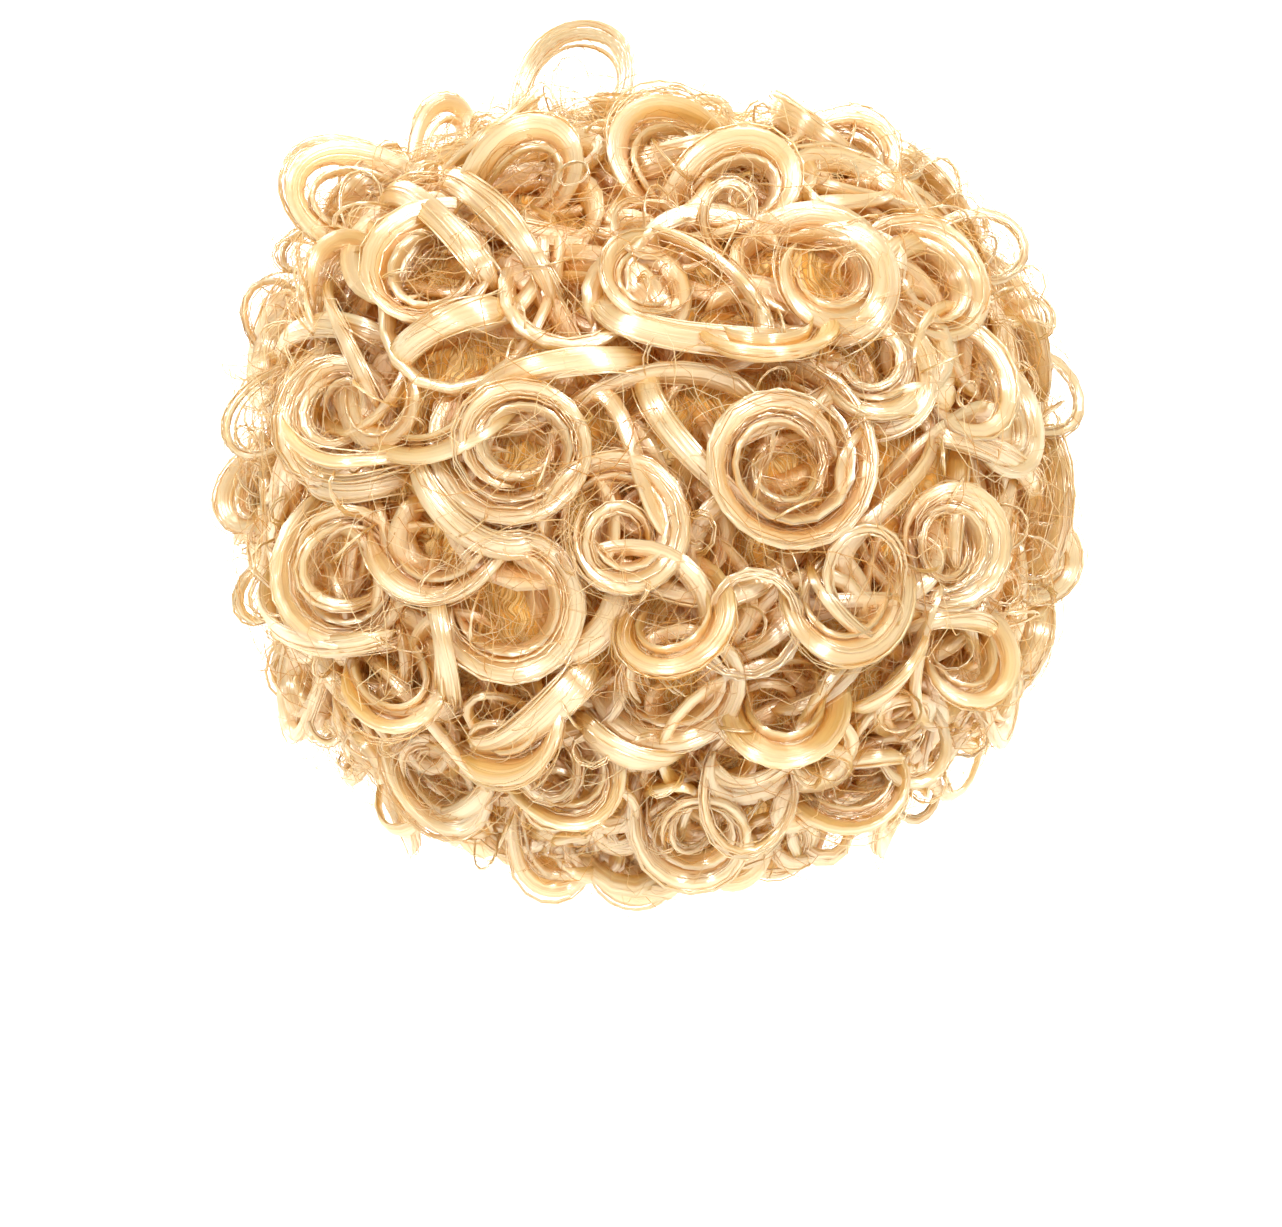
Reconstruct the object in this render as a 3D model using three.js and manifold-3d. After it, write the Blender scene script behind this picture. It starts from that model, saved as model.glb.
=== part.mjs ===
// A short curly wig: a thin dome-shaped cap, the elastic band that edges it, and the hair in six zones.
// Each zone is a thick backing of short teased hair, hollow over the cap, with big ring curls rooted in it.
// Millimetres, +Z up. The wearer faces -Y, so the back of the head is towards +Y and the wearer's left is +X.
// The origin is the seat: the point inside the cap that rests on the top of the head.
import * as THREE from "three";
import { ParametricGeometry } from "three/addons/geometries/ParametricGeometry.js";
import { mergeVertices } from "three/addons/utils/BufferGeometryUtils.js";
import Module from "manifold-3d";

const wasm = await Module();
wasm.setup();

// Driving sizes of the head that the cap fits.
const headHalfWidth = 76;
const headHalfLength = 95;
const headCrownHeight = 100; // from the head's widest level up to the seat
const headLowerHeight = 112; // from the widest level down to where the neck closes in

// Driving sizes of the cap and its band.
const capWall = 1.6;
const bandWall = 2;
const bandHeight = 10;
const pieceGap = 0.4; // between neighbouring pieces
const hollowGap = 1.6; // between the band's outer face and the hair's hollow, before either is faceted

// Driving sizes of the curl layer, the rounded surface that the middles of the ring curls lie on.
const layerHalfWidth = 128;
const layerHalfLength = 136;
const layerRise = 115; // from its widest level up
const layerDrop = 133; // from its widest level down
const layerSetBack = 10; // how far its middle lies behind the middle of the head
const layerLevel = -75; // height of its widest level, from the seat
const moundDepth = 5; // how far the backing lies under the curl layer below a curl's middle
const valleyDepth = 17; // and how far between the curls

// Driving sizes of one main ring curl. The rows below hold shares of these.
const ringRadius = 18;
const lockWidth = 12;
const lockThickness = 8.5;
const rootDive = 24; // how far a lock's root reaches under its ring
const moundReach = 1.9; // share of a ring's radius that its mound in the backing spreads to

// Levels and bearings where the hair zones meet. Bearings are degrees from straight back.
const crownLevel = -22;
const napeLevel = -138;
const backZoneBearing = 50;
const sideZoneBearing = 128;

// Fineness of the faceted surfaces.
const capSlices = 26;
const capStacks = 6;
const backingSlices = 36;
const backingStacks = 9;
const lockSides = 4;
const stepsPerTurn = 7;
const endSteps = 1;

const degree = Math.PI / 180;

// A rounded body: it reaches "up" above its middle and "down" below, and power 2 makes it an ellipsoid.
const headBody = {
  middle: new THREE.Vector3(0, 0, -headCrownHeight),
  x: headHalfWidth,
  y: headHalfLength,
  up: headCrownHeight,
  down: headLowerHeight,
  power: 2,
};
const layerBody = {
  middle: new THREE.Vector3(0, layerSetBack, layerLevel),
  x: layerHalfWidth,
  y: layerHalfLength,
  up: layerRise,
  down: layerDrop,
  power: 2.6,
};

// The same body with its surface moved out by a distance.
function grown(body, distance) {
  return {
    ...body,
    x: body.x + distance,
    y: body.y + distance,
    up: body.up + distance,
    down: body.down + distance,
  };
}

// Where a point lies against a body: 1 on its surface, less inside.
function reachOf(body, point) {
  const v = point.clone().sub(body.middle);
  const sum =
    Math.abs(v.x / body.x) ** body.power +
    Math.abs(v.y / body.y) ** body.power +
    Math.abs(v.z / (v.z > 0 ? body.up : body.down)) ** body.power;
  return sum ** (1 / body.power);
}

// The point moved along its line from the body's middle until it lies on the surface.
function ontoSurface(body, point) {
  return point
    .clone()
    .sub(body.middle)
    .divideScalar(reachOf(body, point))
    .add(body.middle);
}

// The body's surface seen from its middle: bearing in degrees from straight back, polar from straight up.
function surfaceAt(body, bearing, polar) {
  const direction = new THREE.Vector3().setFromSphericalCoords(1, polar * degree, bearing * degree);
  return ontoSurface(body, new THREE.Vector3(direction.x, direction.z, direction.y).add(body.middle));
}

// The outward normal of a body's surface at a point on it.
function normalAt(body, point) {
  const v = point.clone().sub(body.middle);
  const slope = (value, half) => (Math.sign(value) * Math.abs(value / half) ** (body.power - 1)) / half;
  return new THREE.Vector3(
    slope(v.x, body.x),
    slope(v.y, body.y),
    slope(v.z, v.z > 0 ? body.up : body.down),
  ).normalize();
}

// The hairline, the same on both sides of the head. Each column is a polar angle in degrees: where the
// cap ends, where the backing's inner face ends, and where its outer face ends.
const hairline = [
  { bearing: 0, cap: 138, inner: 150, outer: 159 }, // nape
  { bearing: 45, cap: 124, inner: 138, outer: 150 },
  { bearing: 90, cap: 106, inner: 118, outer: 134 }, // ear
  { bearing: 122, cap: 100, inner: 108, outer: 121 }, // temple
  { bearing: 148, cap: 76, inner: 86, outer: 96 },
  { bearing: 180, cap: 62, inner: 72, outer: 85 }, // forehead
];

// One column of the hairline at any bearing, eased between its rows.
function hairlineAt(column, bearing) {
  const b = Math.abs(bearing);
  const next = hairline.findIndex((row) => row.bearing >= b);
  if (next <= 0) return hairline[0][column];
  const [low, high] = [hairline[next - 1], hairline[next]];
  const ease = THREE.MathUtils.smoothstep(b, low.bearing, high.bearing);
  return THREE.MathUtils.lerp(low[column], high[column], ease);
}

// A closed geometry as a solid: its seams are merged and faces that shrink to a line at a pole are left out.
function solidOf(geometry) {
  const positions = geometry.clone();
  positions.deleteAttribute("normal");
  positions.deleteAttribute("uv");
  const merged = mergeVertices(positions, 1e-4);
  const faces = [];
  for (let i = 0; i < merged.index.count; i += 3) {
    const [a, b, c] = [0, 1, 2].map((corner) => merged.index.getX(i + corner));
    if (a !== b && b !== c && c !== a) faces.push(a, b, c);
  }
  const made = new wasm.Manifold(
    new wasm.Mesh({
      numProp: 3,
      vertProperties: merged.attributes.position.array,
      triVerts: new Uint32Array(faces),
    }),
  );
  return made;
}

// A solid back to a geometry.
function geometryOf(solid) {
  const mesh = solid.getMesh();
  const geometry = new THREE.BufferGeometry();
  geometry.setAttribute("position", new THREE.BufferAttribute(mesh.vertProperties, 3));
  geometry.setIndex(new THREE.BufferAttribute(mesh.triVerts, 1));
  geometry.computeVertexNormals();
  return geometry;
}

// The largest of a solid's separate bodies: slivers that a cut leaves loose are dropped.
function largestBody(solid) {
  const bodies = solid.decompose();
  return bodies.reduce((best, body) => (body.volume() > best.volume() ? body : best));
}

// A dome with a thick wall, open below: v runs from the top down the inner face, across the rim and back up
// the outer face to the top. innerPoint and outerPoint give each face from a bearing and a polar angle, and
// innerEnd and outerEnd the polar angle of the rim at each bearing.
function domeWall(innerPoint, outerPoint, innerEnd, outerEnd, slices, stacks) {
  const half = 0.5;
  const surface = (u, v, target) => {
    const bearing = 180 - 360 * u;
    const point =
      v <= half
        ? innerPoint(bearing, (v / half) * innerEnd(bearing))
        : outerPoint(bearing, ((1 - v) / half) * outerEnd(bearing));
    target.copy(point);
  };
  return solidOf(new ParametricGeometry(surface, slices, 2 * stacks + 1));
}

// The dome-shaped cap that the hair is sewn to.
function makeCap() {
  const end = (bearing) => hairlineAt("cap", bearing);
  const face = (body) => (bearing, polar) => surfaceAt(body, bearing, polar);
  return domeWall(face(headBody), face(grown(headBody, capWall)), end, end, capSlices, capStacks);
}

// The elastic band under the cap's edge: a ring of rectangular section that follows the hairline.
function makeBand() {
  const gapAngle = pieceGap / headHalfLength / degree;
  const heightAngle = bandHeight / headHalfLength / degree;
  const outer = grown(headBody, bandWall);
  const surface = (u, v, target) => {
    const bearing = 180 - 360 * u;
    const top = hairlineAt("cap", bearing) + gapAngle * 1.5;
    const corner = Math.round(v * 4) % 4;
    const body = corner === 0 || corner === 3 ? outer : headBody;
    target.copy(surfaceAt(body, bearing, corner < 2 ? top : top + heightAngle));
  };
  return solidOf(new ParametricGeometry(surface, capSlices, 4));
}

// A block between two bearings and two levels, moved in from its neighbours by a clearance. The zones that
// it divides all lie within its reach. A span of 360 degrees gives a plain block.
function zoneBlock({ from, to, low, high }, clearance) {
  const far = 3 * (layerHalfLength + layerHalfWidth);
  const shape = new THREE.Shape();
  if (to - from >= 360) {
    shape.moveTo(-far, -far).lineTo(far, -far).lineTo(far, far).lineTo(-far, far);
  } else {
    const across = (bearing, distance) =>
      new THREE.Vector2(Math.sin(bearing * degree), Math.cos(bearing * degree)).multiplyScalar(distance);
    const middleBearing = (from + to) / 2;
    const halfSpan = ((to - from) / 2) * degree;
    const tip = across(middleBearing, clearance / Math.sin(halfSpan)).add(new THREE.Vector2(0, layerSetBack));
    const corners = [tip, ...[from, middleBearing, to].map((b) => across(b, far).add(tip))];
    shape.setFromPoints(THREE.ShapeUtils.isClockWise(corners) ? corners.reverse() : corners);
  }
  const height = high - low - 2 * clearance;
  const block = new THREE.ExtrudeGeometry(shape, { depth: height, bevelEnabled: false });
  return solidOf(block.translate(0, 0, low + clearance));
}

// The five ways of looking at the wig that the curls are placed in: what lies right, up and towards the eye.
function lookAt(out, up) {
  return { out, up, right: up.clone().cross(out) };
}
const zUp = new THREE.Vector3(0, 0, 1);
const views = {
  back: lookAt(new THREE.Vector3(0, 1, 0), zUp),
  front: lookAt(new THREE.Vector3(0, -1, 0), zUp),
  left: lookAt(new THREE.Vector3(1, 0, 0), zUp),
  right: lookAt(new THREE.Vector3(-1, 0, 0), zUp),
  crown: lookAt(zUp, new THREE.Vector3(0, -1, 0)),
};

// How far the curl layer reaches from its middle along a direction that points along one axis.
function layerReach(direction) {
  if (Math.abs(direction.x) > 0.5) return layerBody.x;
  if (Math.abs(direction.y) > 0.5) return layerBody.y;
  return direction.z > 0 ? layerBody.up : layerBody.down;
}

// The curl's middle on the curl layer: across and rise are shares of the layer's reach in that view.
function curlMiddle(view, across, rise) {
  const sideways = across * layerReach(view.right);
  const upward = rise * layerReach(view.up.clone().multiplyScalar(Math.sign(rise) || 1));
  const left = 1 - Math.abs(across) ** layerBody.power - Math.abs(rise) ** layerBody.power;
  const depth = Math.max(0, left) ** (1 / layerBody.power) * layerReach(view.out);
  const point = layerBody.middle
    .clone()
    .addScaledVector(view.right, sideways)
    .addScaledVector(view.up, upward)
    .addScaledVector(view.out, depth);
  return ontoSurface(layerBody, point);
}

// Everything that a lock's line needs. facing 0 turns the ring's axis along the surface's normal, and 1
// towards the eye. tilt then leans the axis over, in the direction lean degrees from the view's right.
function lockFrame(view, facing, row) {
  const middle = curlMiddle(view, row.across, row.rise);
  const normal = normalAt(layerBody, middle);
  const base = normal.clone().lerp(view.out, facing).normalize();
  const right = view.right.clone().addScaledVector(base, -view.right.dot(base)).normalize();
  const up = base.clone().cross(right);
  const leanTo = right
    .clone()
    .multiplyScalar(Math.cos(row.lean * degree))
    .addScaledVector(up, Math.sin(row.lean * degree));
  const turn = new THREE.Quaternion().setFromAxisAngle(base.clone().cross(leanTo), row.tilt * degree);
  const radius = row.ring * ringRadius;
  return {
    middle: middle.addScaledVector(normal, row.lift * radius),
    normal,
    axis: base.applyQuaternion(turn),
    right: right.applyQuaternion(turn),
    up: up.applyQuaternion(turn),
    radius,
  };
}

const rootFlare = 0.45; // how much wider the ring starts at its root
const tipShrink = 0.3; // how much it has closed by its tip

// A point of a lock's middle line, s from 0 at the root to 1 at the tip: a ring that closes slowly, lies over
// the round of the curl layer, and starts deep in the backing. Writes the outward ring direction too.
function lockPoint(frame, row, s, outward) {
  const angle = (row.start + 360 * row.turns * s) * degree;
  outward
    .copy(frame.right)
    .multiplyScalar(Math.cos(angle))
    .addScaledVector(frame.up, Math.sin(angle));
  const radius = frame.radius * (1 + rootFlare * (1 - s) ** 2 - tipShrink * s);
  const offset = outward.clone().multiplyScalar(radius);
  const height = offset.dot(frame.normal);
  const flat = frame.middle.clone().addScaledVector(offset, 1).addScaledVector(frame.normal, -height);
  const lift = reachOf(layerBody, frame.middle);
  const draped = ontoSurface(layerBody, flat)
    .sub(layerBody.middle)
    .multiplyScalar(lift)
    .add(layerBody.middle);
  return draped.addScaledVector(frame.normal, height - rootDive * (1 - s) ** 3);
}

const sectionRoll = 40 * degree; // the lock's flat section, turned from the ring's axis towards its middle
const endTaper = 0.12; // share of the lock's length over which each end closes

// One lock: a flat section carried along its line, closing to a point at both ends.
function makeLock(view, facing, row, clearance) {
  const frame = lockFrame(view, facing, row);
  const outward = new THREE.Vector3();
  const ahead = new THREE.Vector3();
  const surface = (u, v, target) => {
    const point = lockPoint(frame, row, v, ahead);
    const delta = 0.01;
    const tangent = lockPoint(frame, row, Math.min(1, v + delta), outward)
      .sub(lockPoint(frame, row, Math.max(0, v - delta), outward))
      .normalize();
    const flatWay = frame.axis
      .clone()
      .multiplyScalar(Math.cos(sectionRoll))
      .addScaledVector(ahead, Math.sin(sectionRoll));
    flatWay.addScaledVector(tangent, -flatWay.dot(tangent)).normalize();
    const thinWay = tangent.clone().cross(flatWay);
    const size = Math.min(1, v / endTaper, (1 - v) / endTaper) ** 0.6;
    const width = (row.lock * lockWidth) / 2 + clearance;
    const thickness = (Math.min(1, row.lock + 0.2) * lockThickness) / 2 + clearance;
    const around = 2 * Math.PI * u * Math.sign(row.turns);
    target
      .copy(point)
      .addScaledVector(flatWay, size * width * Math.cos(around))
      .addScaledVector(thinWay, size * thickness * Math.sin(around) * Math.sign(row.turns));
  };
  const steps = Math.ceil(Math.abs(row.turns) * stepsPerTurn) + endSteps;
  return solidOf(new ParametricGeometry(surface, lockSides, steps));
}

// The curls, grouped by the zone that carries them and the view that they are placed in.
// across, rise: shares of the curl layer's reach. ring, lock: shares of the main ring radius and lock width.
// turns: positive runs counterclockwise from start, in degrees from the view's right. lift: share of the ring.
const columns = ["across", "rise", "ring", "lock", "turns", "start", "tilt", "lean", "lift"];
const curls = [
  { zone: "crown_hair", view: "crown", facing: 0.2, rows: [
    [0.0, -0.06, 1.15, 1.1, 1.2, 200, 20, 45, 0.1],
    [0.04, -0.5, 1.1, 1.1, 1.2, 200, 20, 90, 0],
    [0.42, -0.3, 1.1, 1.1, -1.2, 160, 25, 0, 0],
    [-0.4, -0.32, 1.1, 1.1, 1.2, 20, 25, 180, 0],
    [0.22, 0.24, 1.1, 1.1, -1.2, 60, 20, -90, 0],
    [-0.3, 0.16, 1.1, 1.0, 1.2, 220, 20, 180, 0],
    [0.76, -0.1, 1.0, 1.1, 1.1, 40, 20, 0, 0],
    [-0.76, -0.14, 1.0, 1.1, -1.1, 140, 20, 180, 0],
    [0.7, 0.4, 1.0, 1.0, -1.2, 20, 20, 0, 0],
    [-0.72, 0.36, 1.0, 1.0, 1.2, 160, 20, 180, 0],
    [0.34, 0.6, 1.05, 1.0, 1.2, 80, 20, 90, 0],
    [-0.28, 0.66, 1.05, 1.0, -1.2, 120, 20, 90, 0],
  ] },
  { zone: "crown_hair", view: "back", facing: 0.9, rows: [
    [-0.17, 1.02, 0.93, 0.65, -1.0, 230, 8, 0, 0.9],
    [-0.52, 0.93, 0.6, 0.6, -1.0, 230, 25, 0, 0.5],
    [-0.31, 0.81, 0.9, 1.0, -0.9, 190, 15, -90, 0],
    [0.22, 0.77, 0.9, 1.0, -1.2, 230, 5, 0, 0],
    [0.08, 0.85, 1.18, 1.1, 0.7, 60, 10, 0, 0],
    [0.49, 0.89, 0.85, 0.9, -1.0, 150, 20, 0, 0],
    [-0.76, 0.75, 0.9, 0.9, 0.9, 10, 20, 0, 0.2],
  ] },
  { zone: "crown_hair", view: "back", facing: 0.5, rows: [
    [-0.53, 0.54, 1.05, 1.3, 1.3, 0, 10, 0, 0],
    [0.43, 0.53, 1.0, 1.1, -1.1, 170, 15, 0, 0],
    [0.0, 0.5, 0.75, 0.9, 0.9, 30, 10, 0, 0],
  ] },
  { zone: "back_hair", view: "back", facing: 0.5, rows: [
    [0.26, 0.36, 1.15, 1.0, -1.2, 180, 55, 90, 0],
    [0.32, 0.0, 1.36, 1.1, -1.4, 150, 8, 0, 0.1],
    [-0.32, 0.05, 1.1, 1.0, 1.4, 120, 8, 0, 0.1],
    [0.54, 0.28, 1.0, 0.9, -0.8, 100, 15, 0, 0],
    [-0.14, 0.27, 1.8, 1.1, -0.4, 145, 15, 90, 0],
    [-0.5, 0.27, 1.5, 1.0, 0.4, 210, 15, 90, 0],
    [-0.07, -0.16, 1.07, 0.9, -1.3, 250, 12, 0, 0],
    [0.04, -0.37, 1.0, 1.0, -1.2, 200, 45, 110, 0.3],
    [-0.34, -0.31, 1.18, 1.0, 1.0, 150, 10, 0, 0],
    [0.46, -0.3, 1.05, 1.0, -0.7, 30, 15, 90, 0.1],
    [-0.5, -0.12, 1.3, 1.0, 0.6, 190, 15, 0, 0],
  ] },
  { zone: "nape_hair", view: "back", facing: 0.5, rows: [
    [0.06, -0.51, 1.04, 1.0, 1.1, 180, 12, 0, 0],
    [0.32, -0.59, 1.03, 1.1, -1.2, 180, 55, 90, 0],
    [0.13, -0.86, 0.97, 0.75, 1.3, 100, 10, 0, 0.3],
    [-0.24, -0.72, 1.07, 1.0, 1.0, 200, 25, 90, 0],
    [-0.4, -0.56, 1.3, 1.2, 0.5, 240, 25, 90, 0],
    [-0.26, -0.93, 0.8, 0.9, 1.1, 90, 20, 0, 0],
    [-0.04, -0.99, 0.75, 0.8, 0.9, 160, 20, 0, 0],
    [0.36, -0.92, 0.8, 0.8, 0.9, 190, 25, 0, 0],
  ] },
  { zone: "left_hair", view: "back", facing: 0.6, rows: [
    [-0.78, 0.14, 1.0, 1.0, 1.3, 90, 15, 0, 0],
    [-0.8, 0.48, 0.9, 0.9, -1.0, 180, 50, 0, 0],
    [-0.77, -0.24, 1.18, 1.0, 1.2, 120, 15, 0, 0],
    [-0.66, -0.5, 1.0, 1.2, 0.9, 190, 40, 90, 0],
    [-0.58, -0.76, 0.9, 0.9, 1.1, 150, 15, 0, 0],
    [-1.02, -0.05, 0.7, 0.6, 1.0, 60, 10, 0, 0.2],
  ] },
  { zone: "left_hair", view: "left", facing: 0.3, rows: [
    [0.1, 0.38, 1.1, 1.1, -1.2, 140, 15, 0, 0],
    [-0.34, 0.36, 1.1, 1.1, 1.2, 30, 15, 90, 0],
    [0.12, -0.06, 1.2, 1.1, 1.3, 80, 15, 0, 0],
    [-0.3, -0.04, 1.1, 1.0, -1.2, 200, 25, 90, 0],
    [-0.12, -0.4, 1.2, 1.0, 1.2, 120, 15, 0, 0],
    [0.28, -0.5, 1.1, 1.0, -1.1, 60, 25, 90, 0],
    [0.08, -0.8, 0.9, 0.9, -1.1, 60, 25, 90, 0],
  ] },
  { zone: "right_hair", view: "back", facing: 0.6, rows: [
    [0.7, 0.5, 1.05, 1.0, -0.9, 150, 20, 0, 0],
    [0.74, -0.18, 1.0, 1.0, 1.3, 100, 8, 0, 0],
    [0.88, 0.12, 0.9, 0.9, -0.9, 120, 20, 0, 0],
    [0.79, -0.46, 0.85, 0.9, -1.2, 180, 30, 90, 0],
    [0.55, -0.78, 0.9, 0.9, 1.1, 180, 45, 100, 0],
    [1.0, -0.2, 0.75, 0.6, 1.0, 130, 10, 0, 0.2],
  ] },
  { zone: "right_hair", view: "right", facing: 0.3, rows: [
    [-0.12, 0.4, 1.1, 1.1, 1.2, 40, 15, 0, 0],
    [0.34, 0.32, 1.1, 1.1, -1.2, 150, 15, 90, 0],
    [-0.06, -0.06, 1.2, 1.1, -1.3, 100, 15, 0, 0],
    [0.32, -0.06, 1.1, 1.0, 1.2, 340, 25, 90, 0],
    [0.14, -0.4, 1.1, 1.0, -1.2, 60, 15, 0, 0],
    [-0.3, -0.5, 1.1, 1.0, 1.1, 120, 25, 90, 0],
    [-0.06, -0.82, 0.9, 0.9, 1.1, 120, 25, 90, 0],
  ] },
  { zone: "fringe_hair", view: "front", facing: 0.4, rows: [
    [-0.5, 0.52, 1.05, 1.1, 1.2, 60, 15, 90, 0],
    [-0.16, 0.5, 1.05, 1.1, -1.2, 120, 15, 90, 0],
    [0.2, 0.56, 1.0, 1.0, 1.2, 80, 15, 90, 0],
    [0.54, 0.48, 1.05, 1.0, -1.2, 60, 15, 90, 0],
    [-0.62, 0.16, 1.0, 1.0, -1.1, 60, 15, 0, 0],
    [-0.3, 0.2, 1.0, 1.0, 1.2, 100, 10, 0, 0],
    [0.06, 0.2, 1.0, 0.9, -1.2, 80, 10, 0, 0],
    [0.4, 0.18, 1.0, 1.0, 1.2, 120, 15, 0, 0],
    [0.7, 0.1, 1.0, 1.0, 1.1, 160, 15, 0, 0],
  ] },
];

// The zones of hair, in the order that they are laid over each other: a later one is cut clear of those before.
const underside = layerLevel - 2 * layerDrop;
const overTop = layerLevel + 2 * layerRise;
const zones = [
  { name: "back_hair", from: -backZoneBearing, to: backZoneBearing, low: napeLevel, high: crownLevel },
  { name: "nape_hair", from: -backZoneBearing, to: backZoneBearing, low: underside, high: napeLevel },
  { name: "crown_hair", from: -180, to: 180, low: crownLevel, high: overTop },
  { name: "left_hair", from: backZoneBearing, to: sideZoneBearing, low: underside, high: crownLevel },
  { name: "right_hair", from: -sideZoneBearing, to: -backZoneBearing, low: underside, high: crownLevel },
  { name: "fringe_hair", from: sideZoneBearing, to: 360 - sideZoneBearing, low: underside, high: crownLevel },
];

// A zone's share of the backing. A negative inset takes a little of its neighbours' too.
function zoneBacking(zone, backing, inset) {
  return backing.intersect(zoneBlock(zone, inset));
}

// A zone's locks as one solid, each section wider all round by a clearance.
function zoneLocks(zone, clearance) {
  const locks = curls
    .filter((group) => group.zone === zone.name)
    .flatMap((group) =>
      group.rows.map((values) => {
        const row = Object.fromEntries(columns.map((column, i) => [column, values[i]]));
        return makeLock(views[group.view], group.facing, row, clearance);
      }),
    );
  return wasm.Manifold.union(locks);
}

// The mounds of the backing, one under each curl.
const mounds = curls.flatMap(({ view, facing, rows }) =>
  rows.map((values) => {
    const [across, rise, ring] = values;
    return { middle: curlMiddle(views[view], across, rise), radius: moundReach * ring * ringRadius };
  }),
);

// How high the mounds stand at a point, from 0 in a valley to 1 at a curl's middle.
function moundShare(point) {
  const shares = mounds.map(({ middle, radius }) => {
    const away = Math.min(1, middle.distanceTo(point) / radius);
    return (1 - away * away) ** 2;
  });
  return Math.min(1, shares.reduce((sum, share) => sum + share, 0));
}

// The backing's full wall over the cap, before it is divided into zones. It clears the cap and the band.
function makeBacking(clearance) {
  const inner = grown(headBody, Math.max(capWall, bandWall) + hollowGap - clearance);
  const outerPoint = (bearing, polar) => {
    const rise = moundShare(surfaceAt(layerBody, bearing, polar)) * (valleyDepth - moundDepth);
    return surfaceAt(grown(layerBody, clearance - valleyDepth + rise), bearing, polar);
  };
  return domeWall(
    (bearing, polar) => surfaceAt(inner, bearing, polar),
    outerPoint,
    (bearing) => hairlineAt("inner", bearing),
    (bearing) => hairlineAt("outer", bearing),
    backingSlices,
    backingStacks,
  );
}

// The space that the head and the cap take, which no hair enters: the open body inside the backing.
function makeHeadSpace() {
  const body = grown(headBody, Math.max(capWall, bandWall) + hollowGap);
  const surface = (u, v, target) => target.copy(surfaceAt(body, 180 - 360 * u, 180 * (1 - v)));
  return solidOf(new ParametricGeometry(surface, backingSlices, 2 * backingStacks));
}

const hairFinish = { roughness: 0.32, metalness: 0 };
const hairColour = { crown: 0xf3d795, side: 0xefcf86, low: 0xe9c577 };
const materials = {
  cap_dome: new THREE.MeshStandardMaterial({ color: 0xc9a77c, roughness: 0.85 }),
  edge_band: new THREE.MeshStandardMaterial({ color: 0xd8b98c, roughness: 0.8 }),
  crown_hair: new THREE.MeshStandardMaterial({ color: hairColour.crown, ...hairFinish }),
  back_hair: new THREE.MeshStandardMaterial({ color: hairColour.side, ...hairFinish }),
  nape_hair: new THREE.MeshStandardMaterial({ color: hairColour.low, ...hairFinish }),
  left_hair: new THREE.MeshStandardMaterial({ color: hairColour.side, ...hairFinish }),
  right_hair: new THREE.MeshStandardMaterial({ color: hairColour.side, ...hairFinish }),
  fringe_hair: new THREE.MeshStandardMaterial({ color: hairColour.crown, ...hairFinish }),
};

function namedMesh(name, solid) {
  const mesh = new THREE.Mesh(geometryOf(solid), materials[name]);
  mesh.name = name;
  return mesh;
}

const wig = new THREE.Group();
wig.add(namedMesh("cap_dome", makeCap()), namedMesh("edge_band", makeBand()));

// Each zone is its backing with its locks fused to it. What an earlier zone fills is cut away with a gap.
const backing = makeBacking(0);
const backingWithGap = makeBacking(pieceGap);
let filledByBacking = makeHeadSpace();
let filledByLocks = null;
for (const zone of zones) {
  const whole = zoneBacking(zone, backing, pieceGap / 2).add(zoneLocks(zone, 0).subtract(filledByBacking));
  const fitted = filledByLocks ? whole.subtract(filledByLocks) : whole;
  wig.add(namedMesh(zone.name, largestBody(fitted)));
  filledByBacking = filledByBacking.add(zoneBacking(zone, backingWithGap, -pieceGap / 2));
  const locks = zoneLocks(zone, pieceGap);
  filledByLocks = filledByLocks ? filledByLocks.add(locks) : locks;
}

export default wig;
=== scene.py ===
import math

import bmesh
import bpy
import numpy as np
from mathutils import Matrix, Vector


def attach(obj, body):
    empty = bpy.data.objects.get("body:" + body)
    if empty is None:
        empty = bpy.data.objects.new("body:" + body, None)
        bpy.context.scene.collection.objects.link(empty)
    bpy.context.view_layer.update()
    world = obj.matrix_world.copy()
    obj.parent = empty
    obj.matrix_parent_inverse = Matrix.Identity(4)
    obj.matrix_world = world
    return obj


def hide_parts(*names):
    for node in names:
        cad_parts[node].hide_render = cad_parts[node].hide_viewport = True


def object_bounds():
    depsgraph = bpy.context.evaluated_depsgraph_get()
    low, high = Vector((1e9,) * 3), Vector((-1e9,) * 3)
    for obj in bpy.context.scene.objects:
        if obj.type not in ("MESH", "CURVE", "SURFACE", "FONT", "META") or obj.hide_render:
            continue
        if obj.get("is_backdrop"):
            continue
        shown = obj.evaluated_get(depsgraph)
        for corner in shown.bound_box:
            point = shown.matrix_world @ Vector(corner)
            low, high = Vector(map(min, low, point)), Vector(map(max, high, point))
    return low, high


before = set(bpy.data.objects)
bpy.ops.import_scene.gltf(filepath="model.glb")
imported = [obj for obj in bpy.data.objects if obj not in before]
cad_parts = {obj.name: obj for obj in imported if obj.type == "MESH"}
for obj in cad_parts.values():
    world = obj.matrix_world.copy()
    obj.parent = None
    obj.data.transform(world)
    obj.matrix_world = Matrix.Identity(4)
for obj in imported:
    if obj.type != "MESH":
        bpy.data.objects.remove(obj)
cad_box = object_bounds()
rng = np.random.default_rng(11)

# Sizes, in metres

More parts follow.
